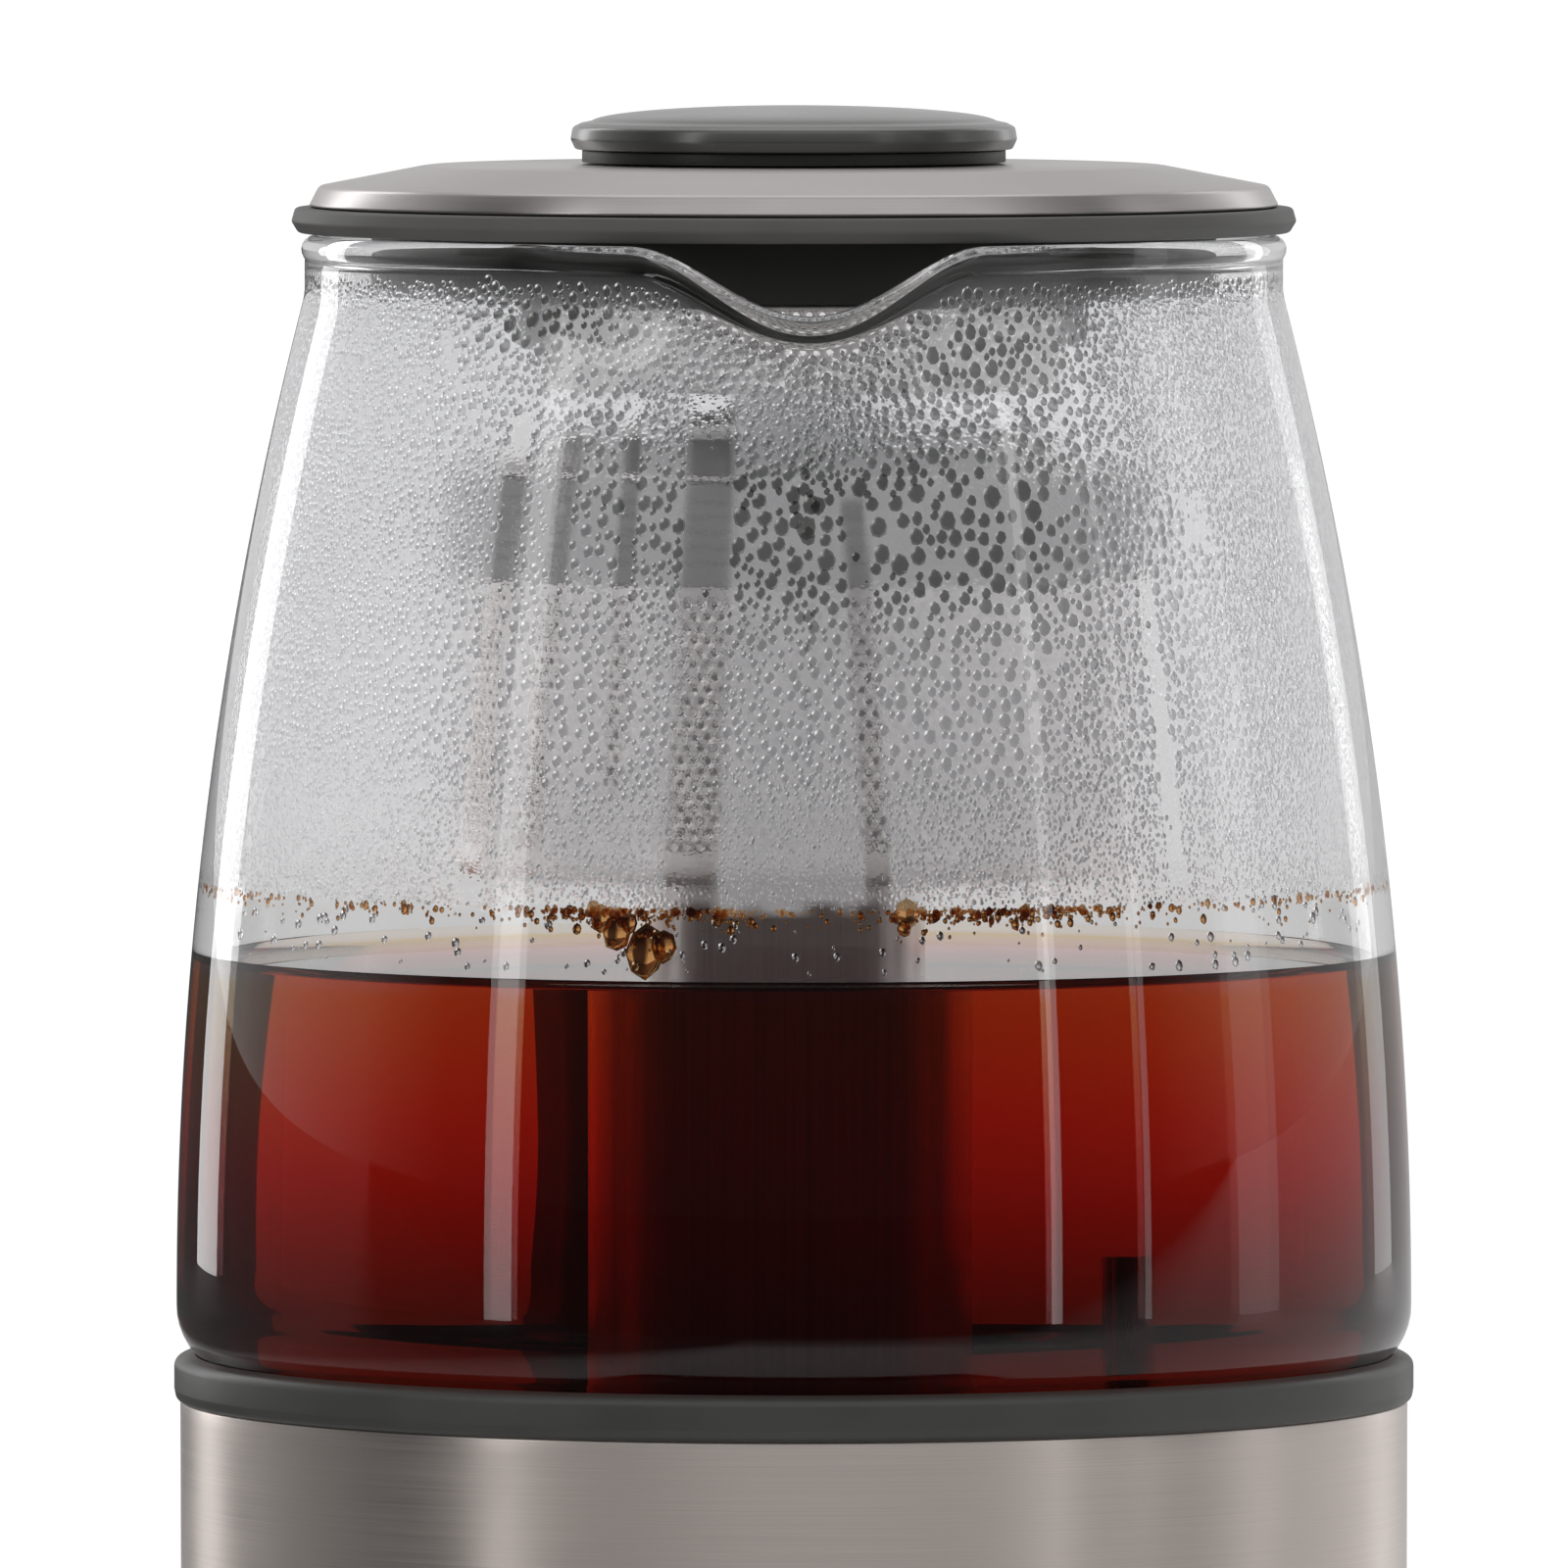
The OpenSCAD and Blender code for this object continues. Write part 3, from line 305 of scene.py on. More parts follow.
def bevelled_copy(node, name, bevel, finish, body):
    """A copy of a CAD node with its edges bevelled in mm, merged and with its flat faces made
    whole first; it stands for the node."""
    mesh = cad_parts[node].data.copy()
    mesh.name = name
    work = bmesh.new()
    work.from_mesh(mesh)
    bmesh.ops.remove_doubles(work, verts=work.verts, dist=0.001 * MM)
    bmesh.ops.dissolve_limit(
        work, angle_limit=math.radians(1), verts=work.verts, edges=work.edges,
        delimit=set())
    work.to_mesh(mesh)
    work.free()
    obj = bpy.data.objects.new(name, mesh)
    bpy.context.collection.objects.link(obj)
    corner = math.radians(30)
    mesh.shade_smooth()
    mesh.set_sharp_from_angle(angle=corner)
    edge = obj.modifiers.new("soft edges", "BEVEL")
    edge.width = bevel * MM
    edge.segments = 2
    edge.limit_method = "ANGLE"
    edge.angle_limit = corner
    edge.harden_normals = False
    mesh.materials.clear()
    mesh.materials.append(MATERIALS[finish])
    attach(obj, body)
    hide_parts(node)


# ---------------------------------------------------------------- materials

def new_material(name):
    """An empty node material and its node tree, shader and output."""
    material = bpy.data.materials.new(name)
    material.use_nodes = True
    tree = material.node_tree
    return material, tree, tree.nodes["Principled BSDF"], tree.nodes["Material Output"]


def feed(socket, source):
    """Links a socket to an output, or sets its value."""
    if isinstance(source, bpy.types.NodeSocket):
        socket.id_data.links.new(source, socket)
    else:
        socket.default_value = source


def set_inputs(node, **sources):
    """Feeds a node's inputs by name, with _ for a space."""
    for key, source in sources.items():
        feed(node.inputs[key.replace("_", " ")], source)


def add_node(tree, kind, *sources, **settings):
    """A shader node: its first inputs in order, its settings and other inputs by name."""
    node = tree.nodes.new("ShaderNode" + kind)
    for key, value in settings.items():
        if hasattr(node, key):
            setattr(node, key, value)
        else:
            set_inputs(node, **{key: value})
    for socket, source in zip(node.inputs, sources):
        feed(socket, source)
    return node


def joined(tree, kind, *sources, **settings):
    """The first output of a new shader node."""
    return add_node(tree, kind, *sources, **settings).outputs[0]


def worked_out(tree, operation, *sources):
    """A value from a Math node over outputs or numbers."""
    return joined(tree, "Math", *sources, operation=operation)


def attribute(tree, name):
    """The value of a point attribute."""
    return add_node(tree, "Attribute", attribute_name=name).outputs["Fac"]


def place_nodes(tree, scale=(1, 1, 1), source="Object"):
    """Coordinates of a pattern: object coordinates or the piece's UV, scaled."""
    spot = add_node(tree, "TexCoord").outputs[source]
    return joined(tree, "Mapping", spot, Scale=scale)


def noise(tree, vector, scale=1.0, detail=3.0, roughness=0.55):
    """A noise texture's value from a vector."""
    return joined(tree, "TexNoise", vector, Scale=scale, Detail=detail, Roughness=roughness)


def spread(tree, value, low, high, start=0.3, end=0.7):
    """A value between start and end mapped to the span from low to high."""
    return joined(tree, "MapRange", value, start, end, low, high)


def tones(tree, value, stops):
    """A colour ramp over stops of (position, colour)."""
    node = add_node(tree, "ValToRGB", value)
    ramp = node.color_ramp
    while len(ramp.elements) < len(stops):
        ramp.elements.new(0.5)
    for element, (position, colour) in zip(ramp.elements, stops):
        element.position = position
        element.color = (*colour, 1)
    return node.outputs["Color"]


def add_bump(tree, shader, value, distance, strength=1.0):
    """Bump on a shader from a height value; distance is in metres."""
    bump = joined(tree, "Bump", Height=value, Distance=distance, Strength=strength)
    set_inputs(shader, Normal=bump)


def shade(colour, factor):
    """A colour made lighter or darker by a factor."""
    return tuple(min(1.0, c * factor) for c in colour)


def moulded(name, colour, rough=0.45, grain=2500.0, relief=0.00004, wear=0.12, coat=0.0,
            level=0.5, coat_rough=0.08):
    """Moulded plastic or rubber: fine grain, faint cloudiness and uneven gloss."""
    material, tree, shader, _ = new_material(name)
    place = place_nodes(tree)
    cloud = noise(tree, place, 60, 4)
    add_bump(tree, shader, noise(tree, place, grain, 2), relief, 0.5)
    set_inputs(
        shader, Roughness=spread(tree, cloud, rough - 0.05, rough + 0.07),
        Base_Color=tones(tree, cloud, [(0.3, shade(colour, 1 - wear)),
                                       (0.7, shade(colour, 1 + wear))]),
        Specular_IOR_Level=level, Coat_Weight=coat, Coat_Roughness=coat_rough)
    return material


def brushed(name, colour, lines, source="Object", rough=0.24, turned=0.6, angle=0.0,
            relief=0.000006):
    """Brushed steel: fine lines by a noise stretched along the brushing, and faint smudges.

    lines scales the noise along each axis; the small numbers lie along the brushing.
    """
    material, tree, shader, _ = new_material(name)
    line = noise(tree, place_nodes(tree, lines, source), 1, 6, 0.65)
    smudge = noise(tree, place_nodes(tree), 45, 3)
    add_bump(tree, shader, line, relief, 0.6)
    set_inputs(
        shader, Metallic=1.0, Anisotropic=turned, Anisotropic_Rotation=angle,
        Base_Color=tones(tree, line, [(0.25, shade(colour, 0.86)), (0.75, shade(colour, 1.1))]),
        Roughness=worked_out(tree, "ADD", spread(tree, line, -0.05, 0.06),
                             spread(tree, smudge, rough - 0.02, rough + 0.05)))
    return material


def see_through(name, colour, ior, rough=0.0, shadow=0.92):
    """Glass or water: refracts, and lets the light through for shadows."""
    material, tree, shader, output = new_material(name)
    set_inputs(shader, Base_Color=(*colour, 1), Roughness=rough, IOR=ior,
               Transmission_Weight=1.0, Specular_IOR_Level=0.3)
    clear = joined(tree, "BsdfTransparent", (shadow, shadow, shadow, 1))
    light = add_node(tree, "LightPath")
    set_inputs(output, Surface=joined(tree, "MixShader", light.outputs["Is Shadow Ray"],
                                      shader.outputs["BSDF"], clear))
    return material


def misted_glass(name, ior):
    """The jug's glass, with a fine fog of beads where the point attribute "fog" is one.

    Part of the fog scatters the light as a pale veil, with a painted glow, an emission that
    stands for the light that the beads gather.
    """
    material = see_through(name, (1, 1, 1), ior)
    tree = material.node_tree
    shader = tree.nodes["Principled BSDF"]
    fog = attribute(tree, "fog")
    cells = joined(tree, "TexVoronoi", place_nodes(tree), Scale=1500.0)
    add_bump(tree, shader, worked_out(tree, "MULTIPLY", spread(tree, cells, 1, 0, 0, 0.55), fog),
             0.00012, 0.55)
    set_inputs(shader, Roughness=spread(tree, fog, 0.0, 0.16, 0, 1))
    pale = (0.93, 0.93, 0.96, 1)
    veil = joined(tree, "MixShader", 0.5, joined(tree, "BsdfDiffuse", pale),
                  joined(tree, "BsdfTranslucent", pale))
    # painted light: the veil glows though it is no lamp
    glow = joined(tree, "Emission", pale, 0.48)
    misted = joined(tree, "MixShader", spread(tree, fog, 0.0, 0.34, 0, 1),
                    shader.outputs["BSDF"], joined(tree, "AddShader", veil, glow))
    feed(tree.nodes["Mix Shader"].inputs[1], misted)
    return material


def condensed(name):
    """Water of the drops: painted shade from a point attribute darkens its colour, and a painted
    highlight, a glowing spot, shows where the attribute "shine" is near one."""
    material = see_through(name, (1, 1, 1), 1.333, shadow=0.97)
    tree = material.node_tree
    set_inputs(
        tree.nodes["Principled BSDF"], Emission_Color=(1, 1, 1, 1),
        # painted shade: the drop's colour darkens with the attribute
        Base_Color=tones(tree, attribute(tree, "gloom"),
                         [(0.0, (0.97, 0.97, 0.98)), (1.0, (0.05, 0.055, 0.045))]),
        # painted highlight: emission where the attribute is near one
        Emission_Strength=spread(tree, attribute(tree, "shine"), 0.0, 1.3, 0.35, 0.8))
    return material


def brewed_tea(name, density, colour, level):
    """Tea: clear liquid that takes up light as it goes through, least of all the red.

    Its colour is painted light and shade: orange near its surface, darkest at the bottom, 50 mm
    down. It shines at its surface, and not where it touches the glass, under the level.
    """
    material = see_through(name, (1, 1, 1), 1.2, shadow=1.0)
    tree = material.node_tree
    height = add_node(tree, "SeparateXYZ", place_nodes(tree)).outputs["Z"]
    # height ramp of the painted light and shade in the tea's tint
    steps = spread(tree, height, 0.0, 1.0, level - 50.0 * MM, level)
    set_inputs(
        tree.nodes["Principled BSDF"],
        Specular_IOR_Level=spread(tree, height, 0.02, 0.3, level - 0.7 * MM, level - 0.2 * MM),
        # painted light and shade: dark at the bottom, orange to white at the surface
        Base_Color=tones(tree, steps, [
            (0.0, (0.12, 0.06, 0.06)), (0.25, (0.42, 0.07, 0.07)), (0.5, (0.85, 0.10, 0.10)),
            (0.72, (0.95, 0.34, 0.16)), (0.97, (1.0, 0.74, 0.30)), (1.0, (1.0, 0.96, 0.90))]))
    set_inputs(tree.nodes["Material Output"],
               Volume=joined(tree, "VolumeAbsorption", (*colour, 1), density))
    return material


def lit(name, colour, strength):
    """A lit segment of the display: it shines evenly, with a faint unevenness of its own."""
    material, tree, shader, _ = new_material(name)
    cloud = noise(tree, place_nodes(tree), 900, 2)
    set_inputs(shader, Emission_Strength=strength, Base_Color=(*shade(colour, 0.2), 1),
               Emission_Color=tones(tree, cloud, [(0.3, shade(colour, 0.85)), (0.7, colour)]))
    return material


def circuit_board(name, colour):
    """Circuit board: solder mask over copper tracks that run square to each other."""
    material, tree, shader, _ = new_material(name)
    cells = joined(tree, "TexVoronoi", place_nodes(tree), distance="MANHATTAN", Scale=260.0)
    add_bump(tree, shader, cells, 0.00004, 0.5)
    set_inputs(shader, Roughness=0.32, Base_Color=tones(tree, cells, [
        (0.30, shade(colour, 1.7)), (0.36, colour), (0.7, shade(colour, 0.8))]))
    return material


def cast_metal(name, colour, rough=0.4):
    """Bare metal part: plain metal with stains, uneven gloss and a fine grain."""
    material, tree, shader, _ = new_material(name)
    place = place_nodes(tree)
    stain = noise(tree, place, 220, 4)
    add_bump(tree, shader, noise(tree, place, 3000, 2), 0.00002, 0.4)
    set_inputs(shader, Metallic=1.0, Roughness=spread(tree, stain, rough - 0.08, rough + 0.12),
               Base_Color=tones(tree, stain, [(0.3, shade(colour, 0.8)),
                                              (0.7, shade(colour, 1.08))]))
    return material


MATERIALS = {}


def make_materials(colours, tea_level):
    """Every finish of the tea maker, by name."""
    steel, grey, black, silicone, tea, board, display = (
        tuple(getattr(colours, finish)) for finish in (
            "steel", "grey", "black", "silicone", "tea", "board", "display"))
    # the skirt's steel: a brighter, warmer copy, partly painted light for the dark surroundings
    # it reflects
    warm = tuple(a * b for a, b in zip(steel, (1.28, 1.21, 1.15)))
    MATERIALS.update({
        # lid steel: a darker copy of the steel, painted shade set by how the light falls on the
        # lid
        "lid steel": brushed("brushed_lid", shade(steel, 0.94), (6, 9000, 1), "UV", 0.32, 0.7,
                             0.25),
        "skirt steel": brushed("brushed_skirt", warm, (5, 7000, 1), "UV", 0.38, 0.85, 0.25),
        "base steel": brushed("brushed_base", steel, (14, 5000, 5000), rough=0.28),
        # post steel: a lighter copy of the steel, painted light that makes up for its dark
        # reflections
        "post steel": brushed("brushed_post", shade(steel, 1.35), (3500, 3500, 12), rough=0.34,
                              turned=0.4),
        "plain steel": brushed("drawn_steel", steel, (900, 900, 60), rough=0.22, turned=0.2),
        "mesh steel": cast_metal("perforated_sheet", shade(steel, 1.4), 0.36),
        "plate steel": brushed("plate_steel", shade(steel, 0.9), (70, 3000, 70), rough=0.2,
                               turned=0.3),
        "grey": moulded("grey_plastic", grey, 0.42, 2600, 0.00003),
        "knob": moulded("knob_plastic", shade(grey, 1.15), 0.3, 3200, 0.00002, coat=0.7,
                        level=0.8, coat_rough=0.22),
        "black": moulded("black_plastic", black, 0.38, 2200, 0.00005),
        "gloss black": moulded("gloss_black", shade(black, 0.5), 0.1, 900, 0.000004, 0.3, 0.6),
        "silicone": moulded("silicone", silicone, 0.5, 1800, 0.00002, 0.08, level=0.4),
        # collar: a lighter copy of the silicone, partly painted light for the dim light inside
        # the jug
        "collar": moulded("collar_silicone", shade(silicone, 2.2), 0.46, 1800, 0.00002, 0.08),
        "plug": moulded("plug_plastic", (0.020, 0.021, 0.015), 0.45, 2400, 0.00003),
        "rubber": moulded("foot_rubber", shade(black, 0.8), 0.75, 1500, 0.00008, 0.2, level=0.3),
        "key": moulded("key_plastic", shade(grey, 0.8), 0.36, 3000, 0.00002),
        "mark": moulded("key_print", (0.78, 0.78, 0.76), 0.5, 3000, 0.00001, 0.05),
        "glass": misted_glass("jug_glass", 1.47),
        "water": condensed("condensed_water"),
        "tea drop": see_through("tea_drop", (0.75, 0.38, 0.13), 1.34, shadow=0.9),
        "window": see_through("display_window", (0.42, 0.45, 0.48), 1.49, 0.02, 0.5),
        "tea": brewed_tea("brewed_tea", colours.tea_density, tea, tea_level),
        "lit": lit("display_segments", display, 2.2),
        "unlit": moulded("display_face", (0.012, 0.016, 0.02), 0.3, 900, 0.000004),
        "board": circuit_board("board", board),
        "zinc": cast_metal("zinc_metal", (0.60, 0.60, 0.58), 0.38),
        "contact": cast_metal("contact_copper", (0.78, 0.45, 0.28), 0.3),
        "magnet": cast_metal("magnet_metal", (0.46, 0.46, 0.48), 0.3),
        "screw": cast_metal("screw_steel", (0.55, 0.54, 0.52), 0.3),
    })


# ---------------------------------------------------------------- jug glass and what is on it

LIP_START = 0.118
RIM_BEAD_R = 1.9 * MM
ARC_R = 74.0       # radius of the wall in mm by which arcs stand for angles from the lip
MOST_BEADS = 8900  # fine beads on one side of the front, to keep a piece under 200,000 faces


def lip_dip(across, size):
    """Depth of the dip under the rim: lip_depth times cos^2 of a quarter turn at its edge."""
    t = np.clip(np.abs(across) / size.lip_half_width, 0, 1)
    return size.lip_depth * np.cos(t * math.pi / 2) ** 2


def wall_radius(up, size):
    """Outside radius of the plain wall at a height above the glass's foot.

    It is an arc, upright at the belly, that leans in to the neck; under the belly it tucks
    in by 2.8 mm with a quarter sine.
    """
    belly_up = 11.3 * MM
    lean = BELLY_R - size.neck_radius
    rise = GLASS_H - 7.8 * MM - belly_up
    arc = (rise ** 2 + lean ** 2) / (2 * lean)
    high = np.clip(up - belly_up, 0, rise)
    radius = BELLY_R - arc + np.sqrt(arc ** 2 - high ** 2)
    tuck = np.clip((up - 5 * MM) / (belly_up - 5 * MM), 0, 1)
    return radius - 2.8 * MM * (1 - np.sin(tuck * math.pi / 2) ** 0.7)


def lip_bulge(across, up, size):
    """How far the pouring lip stands out of the plain wall at a place on it.

    The reach grows with the height above LIP_START as t^1.25, and falls off sideways as
    (1 - q^2)^2, where q is the distance across over a half width that grows with the height.
    """
    t = np.clip((up - LIP_START) / (GLASS_H - LIP_START), 0, 1)
    half = 9 * MM + (size.lip_half_width + 9 * MM) * t ** 0.75
    q = np.clip(np.abs(across) / half, 0, 1)
    return size.lip_reach * t ** 1.25 * (1 - q ** 2) ** 2


def glass_face(angle, up, size, inset=0.0):
    """Points of the wall, drawn in by inset, at an angle from the lip and a height.

    The radius is the plain wall's plus the lip's bulge; the heights over 110 mm are drawn
    down with the dip in the rim, in step with 3t^2 - 2t^3.
    """
    plain = wall_radius(up, size)
    front = np.abs(angle) < math.pi / 2
    across = np.where(front, plain * np.sin(angle), 1.0)
    drop = lip_dip(across, size) * smooth_step((up - 0.11) / (GLASS_H - 0.11))
    radius = plain + lip_bulge(across, up, size) - inset
    return np.stack([
        radius * np.sin(angle), -radius * np.cos(angle), GLASS_Z + up - drop], -1)


def fog_amount(angle, up):
    """Fine fog on the inner wall, from 0 to 1: between the tea's edge and the rim, less so in
    the run-off streaks and right under the rim."""
    edge = 0.0668 + 0.0005 * np.sin(angle * 23) + 0.0004 * np.sin(angle * 61 + 1)
    low = smooth_step((up - edge) / 0.0012)
    high = 1 - smooth_step((up - 0.140) / 0.010)
    return low * high * (1 - 0.72 * streak_amount(angle, up))


STREAKS = (
    # angle from the lip in degrees, half width in degrees, top and bottom in metres, lean
    (-10.5, 2.6, 0.138, 0.066, -0.9), (4.6, 1.25, 0.123, 0.066, 1.9),
    (-27.0, 1.3, 0.130, 0.070, -1.5), (-33.5, 1.5, 0.132, 0.066, -1.3),
    (-19.5, 0.9, 0.134, 0.080, -0.6), (38.0, 1.0, 0.112, 0.068, 1.0),
    (71.0, 2.0, 0.125, 0.067, 0.5), (-78.0, 2.4, 0.128, 0.067, -0.5),
    (103.0, 2.0, 0.118, 0.067, 0.4), (131.0, 3.0, 0.132, 0.067, -0.6),
    (163.0, 2.6, 0.127, 0.067, 0.7), (-112.0, 2.2, 0.122, 0.067, 0.4),
    (-147.0, 3.0, 0.130, 0.067, -0.4),
)


def streak_amount(angle, up):
    """One where run-off has wiped the wall clear: upright bands, with soft round tops."""
    total = np.zeros(np.broadcast(angle, up).shape)
    for middle, half, top, low, lean in STREAKS:
        place = math.radians(middle) + math.radians(lean) * (top - up) / 0.05
        side = 1 - smooth_step((np.abs(angle - place) / math.radians(half) - 0.75) / 0.5)
        ends = smooth_step((top - up) / 0.004) * smooth_step((up - low) / 0.004)
        total = np.maximum(total, side * ends)
    return total


def build_glass(size):
    """The jug's glass wall: outer face, round rim bead, inner face and foot in one surface.

    Columns are angles from the lip, closer together round it; rows go up the outside, round
    the rim's bead and down the inside.
    """
    cols = size.glass_columns
    u = np.linspace(-1, 1, cols, endpoint=False)
    angle = math.pi * (0.55 * u + 0.45 * u ** 3)
    t = np.linspace(0, 1, size.glass_rows)
    bead = RIM_BEAD_R
    top_out = GLASS_H - 3.12 * MM
    outer_up = 0.8 * MM + (top_out - 0.8 * MM) * t
    inner_up = (GLASS_H - 3.24 * MM) * (1 - t) + 0.8 * MM * t
    wall = size.glass_wall
    turn = np.radians(np.linspace(-34, 218, 14))
    bead_in = 1.45 * MM - bead * np.cos(turn)
    bead_up = GLASS_H - bead + bead * np.sin(turn)
    foot_in = np.array([wall - 0.8 * MM, 0.8 * MM])
    foot_up = np.array([0.0, 0.0])
    up = np.concatenate([outer_up, bead_up, inner_up, foot_up])
    inset = np.concatenate([np.zeros_like(t), bead_in, np.full_like(t, wall), foot_in])
    points = glass_face(angle[None, :], up[:, None], size, inset[:, None])
    inside = np.concatenate([
        np.zeros(len(t) + len(turn)), np.ones(len(t)), np.zeros(2)])[:, None]
    fog = fog_amount(angle[None, :], up[:, None]) * inside
    glass = make_piece(
        "jug_glass", points, [grid_quads(len(up), cols, loop_rows=True)],
        MATERIALS["glass"], "jug", sharp=180, stands_for="glass_jug")
    give_attributes(glass, fog=fog)


def build_tea(size):
    """The tea: a disc of liquid in the jug, closed, with a raised edge where it wets glass.

    The side is 0.3 mm inside the glass wall, so that glass meets tea with no air between.
    The top is level, and rises by 1.6 mm times exp(-distance / 1.1 mm) near the wall.
    """
    level = size.tea_level
    low = PLATE_Z + 0.03 * MM
    seal_top = node_high("plate_seal")[2]

    def in_r(z):
        return wall_radius(z - GLASS_Z, size) - size.glass_wall + 0.3 * MM

    heights = np.linspace(seal_top + 0.3 * MM, level + 1.6 * MM, 40)
    side = np.stack([in_r(heights), heights], -1)
    reach = np.concatenate([np.linspace(0.2, 6, 16), np.linspace(8, 70, 24)]) * MM
    edge_r = in_r(level + 1.6 * MM)
    radius = edge_r - 0.3 * MM - reach
    top = np.stack([radius, level + 1.6 * MM * np.exp(-reach / (1.1 * MM))], -1)
    profile = np.concatenate([
        [[0, low], [PLATE_R - 0.1 * MM, low], [PLATE_R + 0.05 * MM, seal_top + 0.03 * MM],
         [side[0, 0] - 0.3 * MM, seal_top + 0.03 * MM]],
        side, top[top[:, 0] > 0.5 * MM], [[0, level]]])
    lathe("brewed_tea", profile, MATERIALS["tea"], "jug", sharp=60)


# ---------------------------------------------------------------- drops

def clear_drops(places, radii, others, other_radii, gap, ranked=False):
    """Mask of places whose drop clears every drop in others by the gap times both radii.

    With ranked, the others are the drops themselves, and only those before a drop count.
    """
    keep = np.ones(len(places), bool)
    order = np.arange(len(places))
    for start in range(0, len(places), 800):
        part = slice(start, start + 800)
        away = np.linalg.norm(places[part, None] - others[None], axis=2)
        near = away < (radii[part, None] + other_radii[None]) * gap
        if ranked:
            near &= order[None] < order[part, None]
        keep[part] = ~near.any(axis=1)
    return keep


def wavy(place, seed, size):
    """Smooth random field from -1 to 1: a mean of eight plane waves of about one size."""
    chance = np.random.default_rng(seed)
    turn = chance.uniform(0, TURN, 8)
    phase = chance.uniform(0, TURN, 8)
    pitch = TURN / size * chance.uniform(0.6, 1.5, 8)
    waves = place[:, 0, None] * np.cos(turn) + place[:, 1, None] * np.sin(turn)
    return np.sin(waves * pitch + phase).mean(axis=1) * 2


GATHERED = (
    # bands of large drops: more radius, middle and width in arc, middle and width in height
    (0.55, 9, 26, 117, 8.5), (0.34, 24, 15, 113, 13), (0.50, -44, 13, 142, 3.2),
    (0.40, -30, 6, 122, 12), (0.25, 22, 13, 138, 7), (0.22, -33, 8, 93, 12),
    (0.18, 22, 12, 90, 14),
)
PAINTED_SHADE_BANDS = (
    # painted shade bands: more grey, middle, width and power in arc, middle and width in height
    (0.80, 8, 30, 4, 116, 12), (0.60, -44, 15, 4, 142, 3.6), (0.42, 26, 20, 2, 140, 7),
    (0.30, -29, 8, 2, 122, 12),
)


def drop_size(place):
    """Wanted drop radius in mm at places (arc from the lip, height over the foot) in mm.

    Beads are about 0.55 mm, larger in the bands where water gathers - under the lip, right
    of the middle and in a row under the rim - and fine low on the wall and at the sides.
    """
    arc, up = place[:, 0], place[:, 1]
    size = 0.50 + 0.10 * wavy(place, 3, 34)
    for more, middle, wide, high, tall in GATHERED:
        size += more * np.exp(-((arc - middle) / wide) ** 2 - ((up - high) / tall) ** 2)
    size *= 1 - 0.35 * smooth_step((np.abs(arc) - 55) / 25)
    size *= 1 - 0.52 * smooth_step((88 - up) / 10)
    return np.clip(size, 0.16, 1.25)


def drop_gloom(place):
    """Painted shade of a drop, from 0 to 1: the dark of its bent view of the lid's plug, painted
    into its colour, in the bands beside the lip and over the collar, and pale at the sides."""
    arc, up = place[:, 0], place[:, 1]
    dark = 0.46 - 0.34 * smooth_step((np.abs(arc) - 38) / 22)
    for more, middle, wide, power, high, tall in PAINTED_SHADE_BANDS:
        dark += more * np.exp(-((arc - middle) / wide) ** power - ((up - high) / tall) ** 2)
    return np.clip(dark, 0, 0.96)


def drop_places(reach, seed, fineness):
    """Centres and radii of drops on the inner wall within a span of arc, in mm.

    Candidates stand on jittered hexagonal grids, coarse to fine; each takes the wanted
    radius there with a random share, if the grid's step suits it, and is kept if it
    clears the drops kept before it and stands in no run-off streak.
    """
    chance = np.random.default_rng(seed)
    kept = np.zeros((0, 2))
    radii = np.zeros(0)
    for step in (3.2, 2.3, 1.65, 1.2, 0.85):
        step = step * fineness
        x, y = np.meshgrid(np.arange(*reach, step), np.arange(67.3, 147.0, step * 0.866))
        x = x + (np.arange(len(y)) % 2)[:, None] * step / 2
        place = np.stack([x, y], -1).reshape(-1, 2)
        place += chance.uniform(-0.33, 0.33, place.shape) * step
        arc, up = place.T
        r = drop_size(place) * fineness * chance.uniform(0.55, 1.25, len(place)) ** 1.2
        fits = (r > step * 0.25) & (r < step * 0.52)
        wiped = streak_amount(arc / ARC_R, up * MM)
        fits &= (wiped < 0.3) | (chance.uniform(0, 1, len(place)) < 0.015)
        patchy = wavy(place, seed + 5, 17) + 0.35 * wavy(place, seed + 9, 6)
        fits &= patchy > -1.25 + 0.9 * smooth_step((np.abs(arc) - 70) / 60)
        fade = smooth_step((up - 67) / 7)
        fits &= chance.uniform(0, 1, len(place)) < 0.15 + 0.85 * fade
        place, r = place[fits], r[fits]
        keep = clear_drops(place, r, kept, radii, 1.08)
        place, r = place[keep], r[keep]
        keep = clear_drops(place, r, place, r, 1.06, ranked=True)
        kept = np.concatenate([kept, place[keep]])
        radii = np.concatenate([radii, r[keep]])
    return kept, radii


def wall_frame(arc, up, size):
    """Point, inward normal and two sideways directions of the inner wall at places in mm.

    The directions are differences of the wall's face over 0.2 mm along each parameter.
    """
    angle = arc / ARC_R
    high = up * MM
    here = glass_face(angle, high, size, size.glass_wall)
    side = unit(glass_face(angle + 0.003, high, size, size.glass_wall) - here)
    rise = unit(glass_face(angle, high + 0.0002, size, size.glass_wall) - here)
    inward = unit(np.cross(rise, side))
    return here, inward, side, np.cross(inward, side)


DROP_FORMS = {
    # points round a drop: its rings' shares of the radius and the height, and the points
    # of the painted highlight, with their share of it
    8: (((1.0, -0.24), (0.92, 0.28), (0.56, 0.76)), {12: 0.3, 13: 1.0, 14: 0.3, 21: 0.55}),
    6: (((1.0, -0.24), (0.80, 0.50)), {9: 0.8, 10: 0.6}),
}


